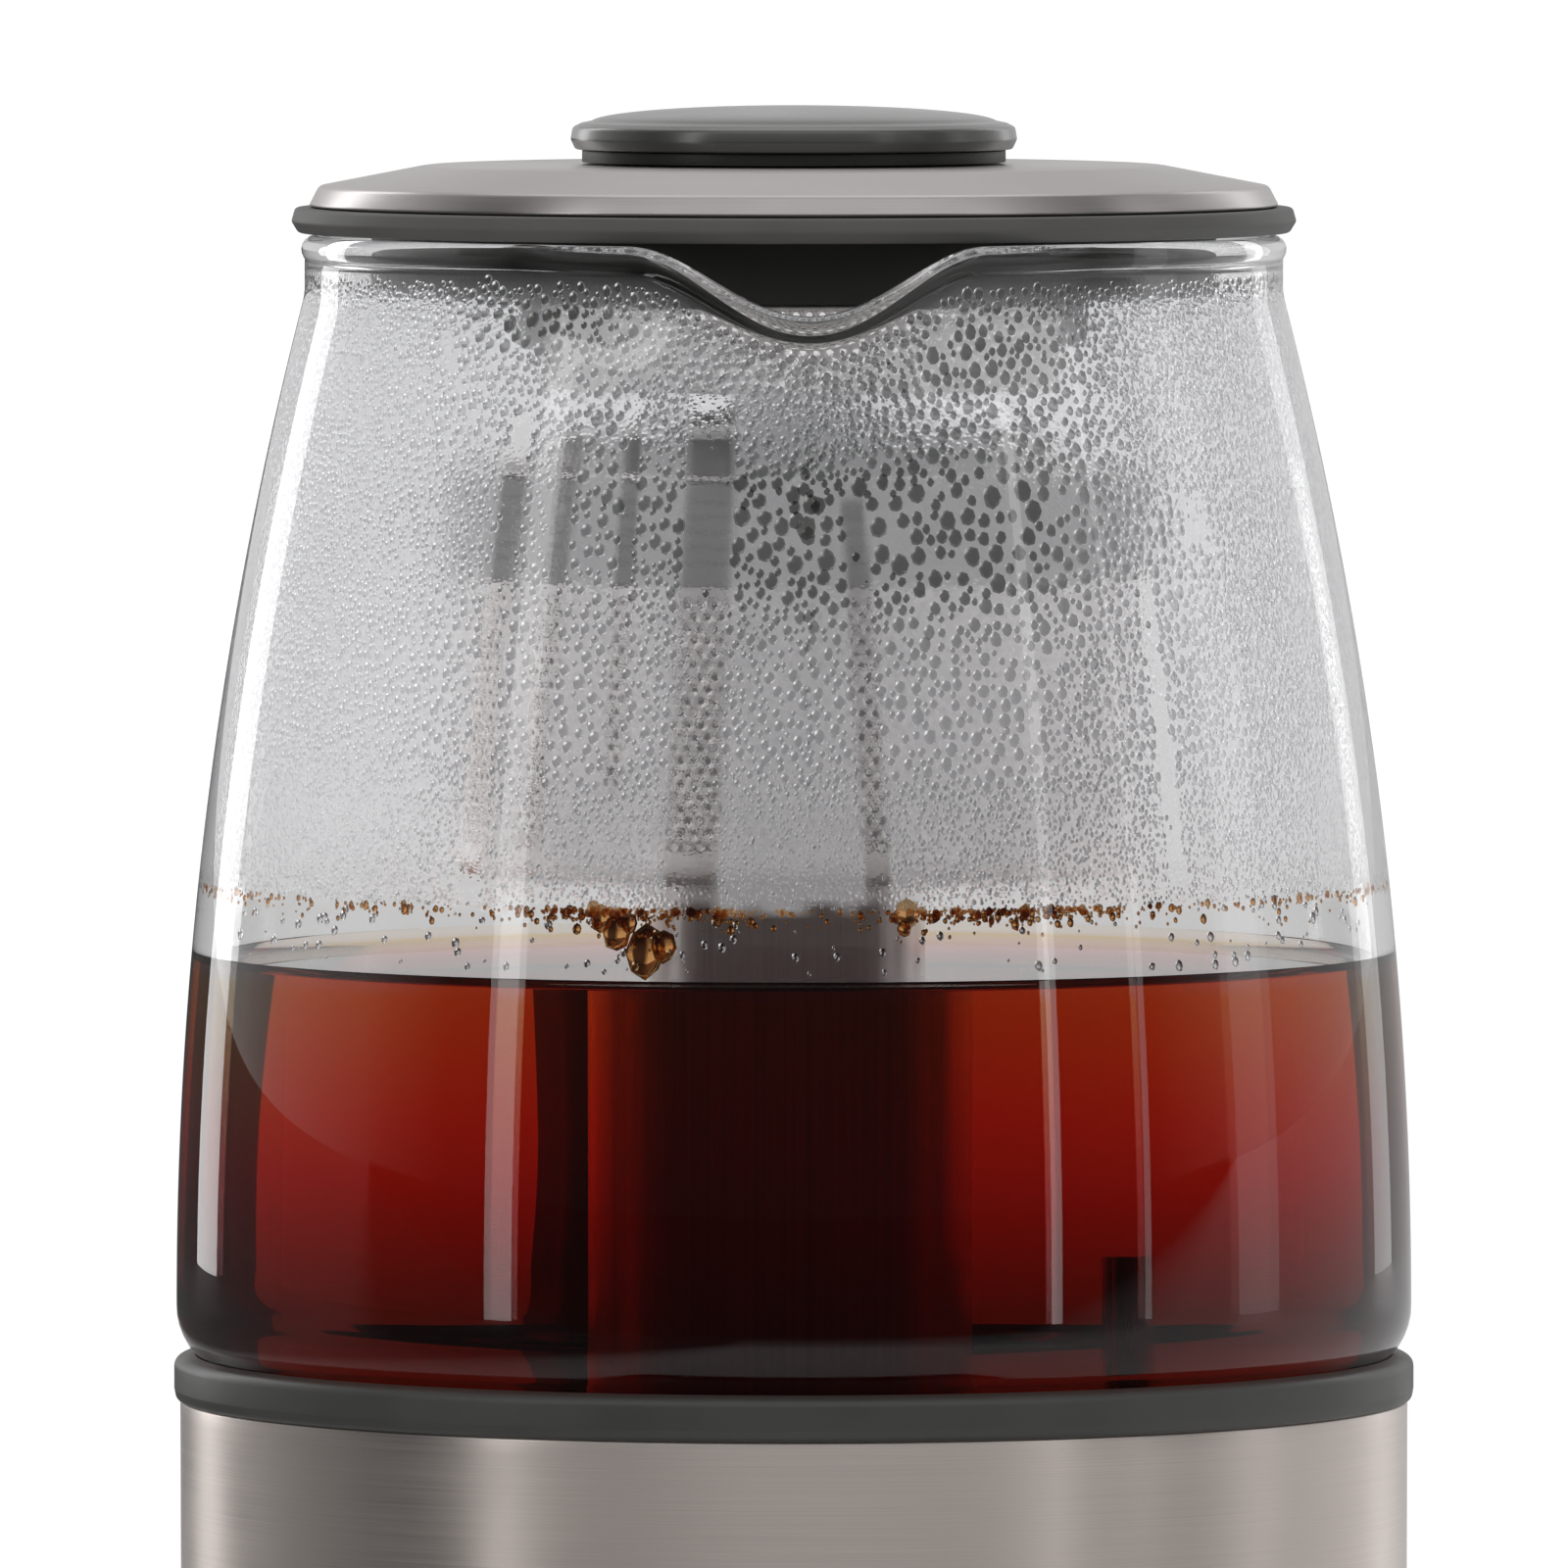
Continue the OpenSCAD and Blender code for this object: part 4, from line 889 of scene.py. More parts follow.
def drops_on_wall(name, place, radii, size, finish, seed, sides=8):
    """Drops as low closed caps: rings on the wall, and a tip.

    A drop's height over the wall is 0.7 of its radius times the square root of 1 - q^2,
    where q is the distance from its middle; it is drawn out downwards and its outline
    waves a little. Its base stands 0.12 mm inside the glass.
    """
    here, inward, side, rise = wall_frame(place[:, 0], place[:, 1], size)
    chance = np.random.default_rng(seed)
    total = len(place)
    r = (radii * MM)[:, None, None]
    wave = 1 + chance.uniform(-0.10, 0.10, (total, 1, sides))
    stretch = 1.12 * chance.uniform(1.0, 1.25, (total, 1, 1))
    rings, glints = DROP_FORMS[sides]
    reach, height = np.array(rings).T[:, None, :, None]
    turn = np.arange(sides) * TURN / sides
    x = r * reach * wave * np.cos(turn)
    y = r * reach * wave * np.sin(turn) * stretch - r * 0.10 * height
    lift = np.broadcast_to(np.where(height < 0, -0.12 * MM, r * 0.70 * height), x.shape)
    grid = here[:, None, None] + sum(
        share[..., None] * axis[:, None, None]
        for share, axis in ((x, side), (y, rise), (lift, inward)))
    tip = here + inward * (r[:, 0] * 0.72) - rise * (r[:, 0] * 0.10)
    points = np.concatenate([grid.reshape(total, -1, 3), tip[:, None]], 1)
    per = points.shape[1]
    start = (np.arange(total) * per)[:, None, None]
    faces = [grid_quads(len(rings), sides), fan(np.arange(per - 1 - sides, per - 1), per - 1),
             np.arange(sides)[::-1][None]]
    drops = make_piece(
        name, points, [(f[None] + start).reshape(-1, f.shape[1]) for f in faces],
        MATERIALS[finish], "jug", sharp=75)
    # painted highlight: a glowing spot on a few points of each drop's rim
    shine = np.zeros((total, per))
    shine[:, list(glints)] = list(glints.values())
    # painted shade: each drop's colour darkened where its view would be dark
    gloom = np.broadcast_to(drop_gloom(place)[:, None], shine.shape)
    give_attributes(drops, shine=shine, gloom=gloom)


def build_beads(size):
    """Fine beads low on the wall's front, with six-sided rings, and a few in the run-off."""
    for name, reach, seed in (("beads_left", (-80, 0), 31), ("beads_right", (0, 80), 32)):
        chance = np.random.default_rng(seed)
        x, y = np.meshgrid(np.arange(*reach, 0.62), np.arange(67.4, 146.0, 0.54))
        place = np.stack([x + (np.arange(len(y)) % 2)[:, None] * 0.31, y], -1).reshape(-1, 2)
        place += chance.uniform(-0.2, 0.2, place.shape)
        wiped = streak_amount(place[:, 0] / ARC_R, place[:, 1] * MM)
        wanted = smooth_step((drop_size(place) - 0.62) / -0.25) * 0.5
        wanted[wiped > 0.3] = 0.006
        place = place[chance.uniform(0, 1, len(place)) < wanted][:MOST_BEADS]
        radii = chance.uniform(0.13, 0.25, len(place))
        drops_on_wall(name, place, radii, size, "water", seed, sides=6)


RESIDUE = np.array([
    # tea left on the wall above its surface: arc and height in mm, radius in mm
    (-26.5, 66.0, 1.5), (-24.3, 64.2, 1.9), (-20.6, 61.8, 2.6), (-18.4, 62.4, 1.7),
    (-22.8, 65.4, 1.1), (-27.5, 67.2, 0.9), (12.0, 66.6, 1.6), (11.6, 64.8, 0.9),
])


def build_residue(size):
    """Drops of tea above its surface, specks along the fog's lower edge and clear drops."""
    chance = np.random.default_rng(41)
    arc = np.concatenate([chance.normal(-22, 9, 320), chance.normal(24, 9, 320),
                          chance.uniform(-115, 115, 420)])
    up = 67.1 - chance.exponential(0.7, len(arc))
    specks = np.stack([arc, np.maximum(up, 62)], -1)
    radii = np.clip(0.12 + chance.exponential(0.11, len(arc)), 0.12, 0.6)
    drops_on_wall("tea_residue", np.concatenate([RESIDUE[:, :2], specks]),
                  np.concatenate([RESIDUE[:, 2], radii]), size, "tea drop", 42)
    place = np.stack([chance.uniform(-90, 90, 120), chance.uniform(59, 66.5, 120)], -1)
    drops_on_wall("clear_residue", place, chance.uniform(0.15, 0.6, 120), size, "water", 43)


# ---------------------------------------------------------------- perforated steel

def hexagon_sheet(cols, rows, pitch, hole_r):
    """Flat sheet of six-sided cells with a round-cornered hole in each, one quad to a side.

    Cells stand in rows a pitch apart, each row moved half a pitch sideways. Returns points
    (across, up) and quads; the sheet repeats every cols cells.
    """
    i, j = np.meshgrid(np.arange(cols), np.arange(rows), indexing="xy")
    x = (i + (j % 2) / 2) * pitch
    y = j * pitch * math.sqrt(3) / 2
    turn = np.radians(30 + 60 * np.arange(6))
    corner = np.stack([np.cos(turn), np.sin(turn)], -1)
    middle = np.stack([x, y], -1).reshape(-1, 1, 2)
    outer = middle + corner * pitch / math.sqrt(3)
    inner = middle + corner * hole_r
    points = np.concatenate([outer, inner], 1)
    k = np.arange(6)
    quads = np.stack([k, (k + 1) % 6, 6 + (k + 1) % 6, 6 + k], -1)
    faces = quads[None] + (np.arange(len(points)) * 12)[:, None, None]
    return points.reshape(-1, 2), faces.reshape(-1, 4)


def sheet_piece(name, points, faces, body, thick, stands_for=None):
    """A thin perforated sheet of quads, whose doubles are merged, with its thickness."""
    obj = make_piece(name, points, [faces], MATERIALS["mesh steel"], body,
                     sharp=180, stands_for=stands_for)
    work = bmesh.new()
    work.from_mesh(obj.data)
    bmesh.ops.remove_doubles(work, verts=work.verts, dist=0.01 * MM)
    work.to_mesh(obj.data)
    work.free()
    obj.data.shade_smooth()
    wall = obj.modifiers.new("sheet", "SOLIDIFY")
    wall.thickness = thick
    wall.offset = 0


def build_basket(size):
    """The basket: a perforated wall and bottom, with plain bands and a rolled rim.

    Holes stand in staggered rows at the perforation's pitch. The wall is the flat sheet
    rolled up: across becomes arc length round the basket.
    """
    middle = (0, BASKET_Y)
    thick = 0.6 * MM
    half = thick / 2 / MM
    r = BASKET_R - thick / 2
    low = BASKET_LOW[2]
    cols = int(round(TURN * r / size.hole_pitch))
    pitch = TURN * r / cols
    band_low = low + 4.2 * MM
    band_high = COLLAR_Z - 1.2 * MM
    rows = int((band_high - band_low) / (pitch * math.sqrt(3) / 2))
    flat, faces = hexagon_sheet(cols, rows, pitch, size.hole_radius)
    z = band_low + pitch / math.sqrt(3) + flat[:, 1]
    points = np.column_stack([r * round_points(flat[:, 0] / r) + middle, z])
    sheet_piece("basket_wall", points, faces, "basket", thick, "basket_body")
    band = (z.max() - 0.7 * MM) / MM
    rim = BASKET_HIGH[2] / MM - 0.1
    r_mm, foot, seam = r / MM, low / MM, (band_low + 0.75 * pitch) / MM
    turned("basket_upper_band", [
        (r_mm - half, band, 0), (r_mm + half, band, 0), (r_mm + half, rim, 0.25),
        (r_mm - half, rim, 0.25)], 5, "mesh steel", "basket", "perforated_steel", 144, middle)
    turned("basket_lower_band", [
        (r_mm - half - 7, foot + 0.02, 0.1), (r_mm + half, foot + 0.02, 1.6),
        (r_mm + half, seam, 0.1), (r_mm - half, seam, 0), (r_mm - half, foot + 0.8, 1.0),
        (r_mm - half - 7, foot + 0.8, 0)], 5, "mesh steel", "basket", "perforated_steel", 144,
        middle)
    reach = r - 5.5 * MM
    side = int(2 * reach / pitch) + 3
    flat, faces = hexagon_sheet(side, int(side * 1.16), pitch, size.hole_radius)
    flat = flat - flat.mean(axis=0)
    inside = np.linalg.norm(flat.reshape(-1, 12, 2).mean(axis=1), axis=1) < reach
    faces = faces.reshape(-1, 6, 4)[inside].reshape(-1, 4)
    points = np.column_stack([flat + middle, np.full(len(flat), low + 0.41 * MM)])
    used, faces = np.unique(faces, return_inverse=True)
    sheet_piece("basket_bottom", points[used], faces.reshape(-1, 4), "basket", 0.5 * MM)


def build_strainer(size):
    """The lid's screen behind the lip: a curved perforated sheet with a plain edge."""
    low, high = node_low("lid_strainer"), node_high("lid_strainer")
    r = -low[1] - 0.3 * MM
    half = math.asin(high[0] / (r + 0.3 * MM))
    pitch = size.hole_pitch * 0.95
    cols = int(2 * half * r / pitch)
    pitch = 2 * half * r / (cols + 0.5)
    rows = int((high[2] - low[2] - 0.6 * MM) / (pitch * math.sqrt(3) / 2))
    flat, faces = hexagon_sheet(cols, rows, pitch, size.hole_radius)
    angle = -math.pi / 2 - half + (flat[:, 0] + pitch / 2) / r
    z = low[2] + 0.5 * MM + pitch / 2 + flat[:, 1]
    points = np.column_stack([r * round_points(angle), z])
    sheet_piece("lid_screen", points, faces, "lid", 0.5 * MM, "lid_strainer")
    rail_r = 0.45 * MM
    out = round_points(-math.pi / 2 + np.linspace(-1, 1, 60) * half * 0.992)
    around = np.linspace(0, TURN, 10, endpoint=False)
    for k, height in enumerate((low[2] + rail_r, high[2] - rail_r)):
        ring = out[:, None] * (r + np.cos(around) * rail_r)[None, :, None]
        z = np.broadcast_to(height + np.sin(around) * rail_r, ring.shape[:2])
        points, faces = stacked(np.concatenate([ring, z[..., None]], -1)[::-1])
        make_piece(f"screen_rail_{k + 1}", points, faces, MATERIALS["mesh steel"], "lid")


# ---------------------------------------------------------------- lid, rings and skirt

def build_lid():
    """The steel cover, its silicone seal and its knob, each a smooth surface of revolution."""
    r, z, top = round_size("lid_cover")
    turned("lid_steel", [
        (2.2, top - 1.0, 0), (0.76 * r, top - 1.3, 8), (r - 2.4, z + 2.0, 1.2),
        (r - 0.9, z, 0.2), (r, z, 0.3), (r - 1.4, z + 2.7, 1.1), (0.76 * r, top - 0.3, 9),
        (2.2, top, 0)], 9, "lid steel", "lid", "brushed_steel", 256, stands_for="lid_cover")
    r, z, top = round_size("lid_seal")
    in_r = r - 6.4
    turned("lid_seal_ring", [
        (in_r, z, 0.2), (r - 0.9, z, 0.7), (r, z + 1.5, 0.6), (r - 0.5, top, 0.6),
        (in_r, top, 0.2)], 6, "silicone", "lid", "silicone", 256, stands_for="lid_seal")
    r, z, top = round_size("lid_knob")
    quarter = np.linspace(0, 1, 16) * math.pi / 2
    dome = round_points(quarter) * [r - 2.6, 2.2] + [0, top - 2.2]
    knob = np.concatenate([
        soft_profile([
            (0, z, 0), (r - 2.6, z, 0.3), (r - 2.4, z + 1.5, 0.1), (r - 0.6, z + 1.7, 0.5),
            (r, z + 3.0, 0.8), (r - 0.25, z + 4.6, 0.7), (r - 1.6, z + 5.25, 1.0)], 6)[:-2],
        dome[1:-1], [[0, top]]])
    knob = knob[np.concatenate([[True], np.diff(knob[:, 1]) > -0.2])]
    lathe("lid_knob_cap", knob * MM, MATERIALS["knob"], "lid",
          stands_for="lid_knob")
    # painted shadow: a near-black disc under the knob stands for the shade in the gap between
    # knob and lid
    turned("lid_knob_shadow_disc", [
        (0, z, 0), (r - 1.5, z, 0.1), (r - 1.5, z + 1.55, 0.1), (0, z + 1.55, 0)], 3,
        "plug", "lid", "grey_plastic", 128)


def build_rings():
    """The plastic ring under the glass, with the three posts that hold it, and the skirt."""
    r, low, top = round_size("glass_ring")
    skirt_r, z, skirt_top = round_size("jug_skirt")
    inner = 78.65
    seat = GLASS_Z / MM + 0.01
    turned("glass_ring_band", [
        (inner - 8, skirt_top, 0.2), (r - 0.3, skirt_top, 0.9), (r, skirt_top + 1.6, 0.8),
        (r, top - 0.5, 1.3), (inner, top, 0.3), (inner, seat, 0.1), (inner - 8, seat, 0.2)], 7,
        "grey", "jug", "grey_plastic", 256, stands_for="glass_ring")
    post = np.array([(0, low), (4, low), (4, skirt_top + 1), (0, skirt_top + 1)]) * MM
    for k, centre in enumerate(0.84 * SKIRT_R * round_points(np.radians([30, 150, 270]))):
        lathe(f"glass_ring_post_{k + 1}", post, MATERIALS["grey"], "jug", 32,
              centre)
    skirt = soft_profile([
        (skirt_r - 0.9, z + 0.3, 0.2), (skirt_r - 0.1, z, 0.5), (skirt_r, skirt_top, 0.3),
        (skirt_r - 0.9, skirt_top, 0.3)], 5)
    straight = np.linspace(skirt[9], skirt[10], 24)[1:-1]
    lathe("skirt_steel", np.concatenate([skirt[:10], straight, skirt[10:]]) * MM,
          MATERIALS["skirt steel"], "jug", 256, stands_for="jug_skirt")


def build_basket_trim():
    """The basket's collar, lid and lid knob, with soft edges and a finger-grip ring."""
    middle = (0, BASKET_Y)
    basket_r = BASKET_R / MM
    r, z, top = round_size("basket_collar")
    in_r = basket_r + 0.05
    ribs = []
    for height in z + 2.6 + 2.0 * np.arange(5):
        ribs += [(r, height, 0.1), (r - 0.35, height + 0.4, 0.15), (r, height + 0.8, 0.1)]
    turned("basket_collar_band",
           [(in_r, z, 0.1), (r, z, 0.5), *ribs, (r, top, 0.5), (in_r, top, 0.1)], 4,
           "collar", "basket", "collar", 192, middle, stands_for="basket_collar")
    r, low, top = round_size("basket_lid")
    z = low + 3
    dome = 0.82 * basket_r
    turned("basket_lid_steel", [
        (0, top - 0.9, 0), (dome - 5, top - 0.9, 2.5), (dome - 1, z, 1.0), (r, z, 0.3),
        (r, z + 0.9, 0.4), (dome, z + 0.9, 1.6), (dome - 4, top, 3), (0, top, 0)], 7,
        "mesh steel", "basket_cover", "brushed_steel", 160, middle, stands_for="basket_lid")
    rim_r = basket_r - 1.8
    turned("basket_lid_rim", [
        (rim_r - 1, low, 0.2), (rim_r, low, 0.4), (rim_r, z + 0.2, 0), (rim_r - 1, z + 0.2, 0)],
        4, "mesh steel", "basket_cover", "brushed_steel", 160, middle)
    low, high = node_low("basket_lid_knob") / MM, node_high("basket_lid_knob") / MM
    r, z, top = (high[0] - low[0]) / 2, low[2], high[2]
    turned("basket_lid_grip", [
        (0, z, 0), (0.66 * r, z, 0.3), (0.60 * r, z + 1.6, 1.2), (r, z + 2.3, 0.5),
        (r, top - 0.8, 0.7), (r - 1.6, top, 1.0), (0.35 * r, top - 0.3, 1.5),
        (0, top - 0.4, 0)], 6, "grey", "basket_cover", "grey_plastic", 96, middle,
        stands_for="basket_lid_knob")


# ---------------------------------------------------------------- handle, base and panel

def rounded_box_outline(half_w, half_t, outer_bend, inner_bend, steps=8):
    """Outline of a bar's section: a rectangle with larger corners on its outer side."""
    out = []
    for sx, sy, bend, start in ((1, -1, inner_bend, -90), (1, 1, outer_bend, 0),
                                (-1, 1, outer_bend, 90), (-1, -1, inner_bend, 180)):
        turn = np.radians(start + np.linspace(0, 90, steps))
        middle = [sx * (half_w - bend), sy * (half_t - bend)]
        out.append(middle + bend * round_points(turn))
    return np.concatenate(out)


def handle_path():
    """Middle line of the handle in the YZ plane, with thickness and width scales.

    An arm out of the skirt, a quarter circle of 20 mm, a straight grip, a quarter circle of
    18 mm, and a nose that closes as a half circle.
    """
    low, high = node_low("handle_shell") / MM, node_high("handle_shell") / MM
    grip_y, top_z = high[1:] - 9.5
    arm_z = low[2] + 11
    nose_y = 95.3
    arm = np.linspace([SKIRT_R / MM + 3, arm_z], [grip_y - 20, arm_z], 6)
    bend = [grip_y - 20, arm_z + 20] + 20 * round_points(np.radians(np.linspace(-90, 0, 13)))
    grip = np.linspace([grip_y, arm_z + 20], [grip_y, top_z - 18], 24)
    crown = [grip_y - 18, top_z - 18] + 18 * round_points(np.radians(np.linspace(0, 90, 13)))
    top = np.linspace([grip_y - 18, top_z], [nose_y, top_z], 6)
    t = np.sin(np.linspace(0, math.pi / 2, 14))
    nose = np.column_stack([nose_y - 9.5 * t, np.full(14, top_z)])
    path = np.concatenate([arm[:-1], bend, grip[1:-1], crown, top[1:-1], nose])
    along = arc_length(path)
    thick = 22 / 19 + (1 - 22 / 19) * smooth_step((along - 12) / 40)
    waist = smooth_step((along - 60) / 30) * (1 - smooth_step((along - 130) / 30))
    wide = 1 - 0.06 * waist
    close = np.sqrt(np.clip(1 - t ** 2, 0.0004, 1))
    thick[-14:] *= close
    wide[-14:] *= 1 - 0.75 * (1 - close) ** 2
    return np.column_stack([path * MM, thick, wide])


def build_handle():
    """The handle, its soft inner grip and the steel bracket's bevelled copy."""
    outline = rounded_box_outline(node_high("handle_shell")[0], 9.5 * MM, 7.5 * MM, 4.5 * MM)
    points, faces = tube(handle_path(), outline)
    make_piece("handle_body", points, faces, MATERIALS["black"], "jug",
               sharp=50, stands_for="handle_shell")
    low, high = node_low("handle_grip"), node_high("handle_grip")
    t = np.linspace(0, 1, 40)
    ends = np.sin(np.clip(np.minimum(t, 1 - t) * 14, 0, 1) * math.pi / 2)
    middle = np.column_stack([np.full(40, low[1] + 1.2 * MM), low[2] + (high[2] - low[2]) * t,
                              0.25 + 0.75 * ends, 0.86 + 0.10 * ends])
    pad = rounded_box_outline(high[0] - 0.5 * MM, 1.55 * MM, 0.6 * MM, 1.3 * MM, 5)
    points, faces = tube(middle, pad)
    make_piece("handle_soft_grip", points, faces, MATERIALS["grey"], "jug",
               sharp=50, stands_for="handle_grip")
    bevelled_copy("handle_bracket", "handle_bracket_steel", 0.5, "plain steel", "jug")


def build_base():
    """The power base: bevelled copies of the steel housing, the bezel, socket and gland."""
    for node, name, bevel, finish, slot_name in (
            ("base_housing", "base_steel", 0.6, "base steel", "brushed_steel"),
            ("control_bezel", "bezel_black", 0.3, "gloss black", "black_plastic"),
            ("socket_body", "socket_black", 0.4, "black", "black_plastic"),
            ("cord_gland", "gland_black", 0.5, "black", "black_plastic"),
            ("base_feet", "feet_rubber", 0.3, "rubber", "foot_rubber"),
            ("base_floor", "floor_black", 0.4, "black", "black_plastic")):
        bevelled_copy(node, name, bevel, finish, "base")


KEYS = {
    # key: middle across and up the panel, and length, in mm
    "tea_type": (-39, 5.7, 20), "strength": (39, 5.7, 20), "hot_water": (-39, -11.85, 20),
    "start": (39, -11.85, 20), "cooler": (-12.5, -11.85, 14), "warmer": (12.5, -11.85, 14),
}
KEY_ROWS = [
    # inset and height over the panel in mm, up from the hidden flange to the key's flat top
    (-0.9, -3.8), (-0.9, -2.8), (0, -2.8), (0, 0.9), (0.05, 1.1), (0.2, 1.28), (0.45, 1.40),
    (0.8, 1.45), (1.6, 1.45), (3.2, 1.45)]


def bar(x, y, half_x, half_y):
    """A flat bar's outline round (x, y)."""
    return np.array([[-1, -1], [1, -1], [1, 1], [-1, 1]]) * [half_x, half_y] + [x, y]


def open_ring(r, width, start, end, steps=28):
    """Outline of a part of a ring between two angles in degrees, out along and back."""
    arc = round_points(np.radians(np.linspace(start, end, steps)))
    return np.concatenate([arc * (r + width / 2), arc[::-1] * (r - width / 2)])


def key_marks():
    """Plain pictograms in mm: leaf, rising bars, drop, power sign, minus and plus."""
    t = np.linspace(0, math.pi, 15)
    lens = np.stack([-np.cos(t) * 2.6, np.sin(t) ** 1.3 * 1.25], -1)
    leaf = np.concatenate([lens * [1, -1], lens[::-1][1:-1]])
    lean = np.array([[0.86, -0.5], [0.5, 0.86]])
    t = np.linspace(0, TURN, 30, endpoint=False)
    drop = np.stack([np.sin(t) * 1.35 * np.sin(t / 2), 0.2 + np.cos(t) * 1.9], -1)[::-1]
    return {
        "tea_type": [(leaf @ lean.T) + [0.1, 0.1], bar(0, 0, 0.12, 0.12) + [-2.3, -1.35]],
        "strength": [bar(-1.7, -0.9, 0.5, 0.6), bar(0, -0.5, 0.5, 1.0), bar(1.7, 0, 0.5, 1.5)],
        "hot_water": [drop],
        "start": [open_ring(1.75, 0.42, 125, 415), bar(0, 1.35, 0.21, 0.95)],
        "cooler": [bar(0, 0, 1.5, 0.24)],
        "warmer": [bar(0, 0, 1.5, 0.24), bar(0, 0.87, 0.24, 0.63), bar(0, -0.87, 0.24, 0.63)],
    }


def plates(shapes, low, high, place=(0, 0)):
    """Points on the panel and faces of thin plates, one for each flat outline, all in mm."""
    points, faces, start = [], [], 0
    for shape in shapes:
        x, y = shape.T
        if np.sum(x * np.roll(y, -1) - np.roll(x, -1) * y) < 0:
            shape = shape[::-1]
        loops = [np.column_stack([shape + place, np.full(len(shape), w)]) for w in (low, high)]
        some, quads = stacked(np.stack(loops))
        points.append(some)
        faces += [f + start for f in quads]
        start += len(some)
    return on_panel(np.concatenate(points)), faces


def build_keys(size):
    """The six keys: a lofted obround cap with soft edges, its hidden flange and stem, and a
    printed mark that moves with it."""
    stem, stem_faces = stacked(obround_rows(4, 4, [(0, -5.8), (0, -3.8)]))
    marks = key_marks()
    for key, (x, y, length) in KEYS.items():
        body = "key_" + key
        cap, faces = stacked(obround_rows(length, size.key_width / MM, KEY_ROWS))
        faces += [f + len(cap) for f in stem_faces]
        points = on_panel(np.concatenate([cap, stem]) + [x, y, 0])
        make_piece(body + "_cap", points, faces, MATERIALS["key"], body, sharp=35,
                   stands_for="button_" + key)
        points, faces = plates(marks[key], 1.40, 1.475, (x, y))
        make_piece(body + "_mark", points, faces, MATERIALS["mark"], body, sharp=30)


SEGMENTS = {"0": "abcdef", "3": "abcdg", "5": "acdfg", "9": "abcdfg"}


def digit(character, height):
    """Outlines of a seven-segment digit, each a bar with pointed ends, of a given height."""
    w, h, t = height * 0.52, height, height * 0.055
    middles = {
        "a": (0, h / 2, 0), "g": (0, 0, 0), "d": (0, -h / 2, 0), "b": (w / 2, h / 4, 1),
        "c": (w / 2, -h / 4, 1), "e": (-w / 2, -h / 4, 1), "f": (-w / 2, h / 4, 1)}
    out = []
    for letter in SEGMENTS[character]:
        x, y, upright = middles[letter]
        reach = (h / 4 if upright else w / 2) - t * 1.1
        shape = np.array([[-reach, -t], [reach, -t], [reach + t * 0.9, 0], [reach, t],
                          [-reach, t], [-reach - t * 0.9, 0]])
        if upright:
            shape = shape[:, ::-1] * [-1, 1]
        out.append(shape + [x, y])
    return out


def build_display():
    """The display: lit seven-segment numbers, a colon, a degree ring and a row of bars."""
    up = 5.7
    shapes = []
    for character, x in (("9", -15.5), ("5", -9.5), ("3", 4.5), ("0", 11.0), ("0", 17.0)):
        shapes += [s + [x, up + 0.9] for s in digit(character, 8.2)]
    shapes.append(open_ring(0.95, 0.36, 0, 359, 24) + [-5.0, up + 4.2])
    shapes += [open_ring(0.25, 0.49, 0, 359, 14) + [7.75, up + y] for y in (2.4, -0.6)]
    shapes += [bar(-17.5 + 3.1 * k, up - 6.3, 1.15, 0.32) for k in range(5)]
    points, faces = plates(shapes, -2.64, -2.5)
    make_piece("display_numbers", points, faces, MATERIALS["lit"], "base", sharp=30)


NODE_FINISH = {
    "base_screws": "screw", "display_window": "window", "display_module": "unlit",
    "control_board": "board", "button_switches": "zinc", "socket_contacts": "contact",
    "power_board": "board", "swivel_ring": "black", "jug_bottom": "black",
    "jug_bottom_screws": "screw", "plate_seal": "silicone",
    "heating_plate": "plate steel", "heating_element": "zinc", "thermal_cutout": "black",
    "temperature_probe": "plain steel", "jug_connector": "black", "post_tube": "post steel",
    "post_cap": "grey", "post_gasket": "silicone", "screw_bearing": "zinc",
    "guide_rods": "zinc", "lift_motor": "zinc", "handle_screws": "screw",
    "lead_screw": "plain steel", "screw_gear": "black", "pinion": "black",
    "lift_carriage": "zinc", "carriage_magnets": "magnet", "basket_clamp": "grey",
    "clamp_magnets": "magnet", "lid_plug": "plug", "lid_knob_screw": "screw",
}


def finish_nodes():
    """Gives every CAD node that stays its own finish."""
    for node, finish in NODE_FINISH.items():
        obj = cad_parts[node]
        for place in obj.material_slots:
            place.material = MATERIALS[finish]
        if not obj.material_slots:
            obj.data.materials.append(MATERIALS[finish])


# ---------------------------------------------------------------- stage

def aim(obj, target):
    """Turns a lamp or camera so that it looks at a point."""
    away = Vector(target) - obj.location
    obj.rotation_euler = away.to_track_quat("-Z", "Y").to_euler()


def softbox(name, azimuth, distance, height, width, tall, radiance):
    """An area lamp at an azimuth in degrees from the lip, towards +X, that looks at the jug;
    its power comes from its radiance times pi times its area."""
    lamp = bpy.data.lights.new(name, "AREA")
    lamp.shape = "RECTANGLE"
    lamp.size, lamp.size_y = width, tall
    lamp.energy = radiance * math.pi * width * tall
    obj = bpy.data.objects.new(name, lamp)
    bpy.context.collection.objects.link(obj)
    turn = math.radians(azimuth)
    obj.location = (distance * math.sin(turn), -distance * math.cos(turn), height)
    aim(obj, (0, 0, 0.14))


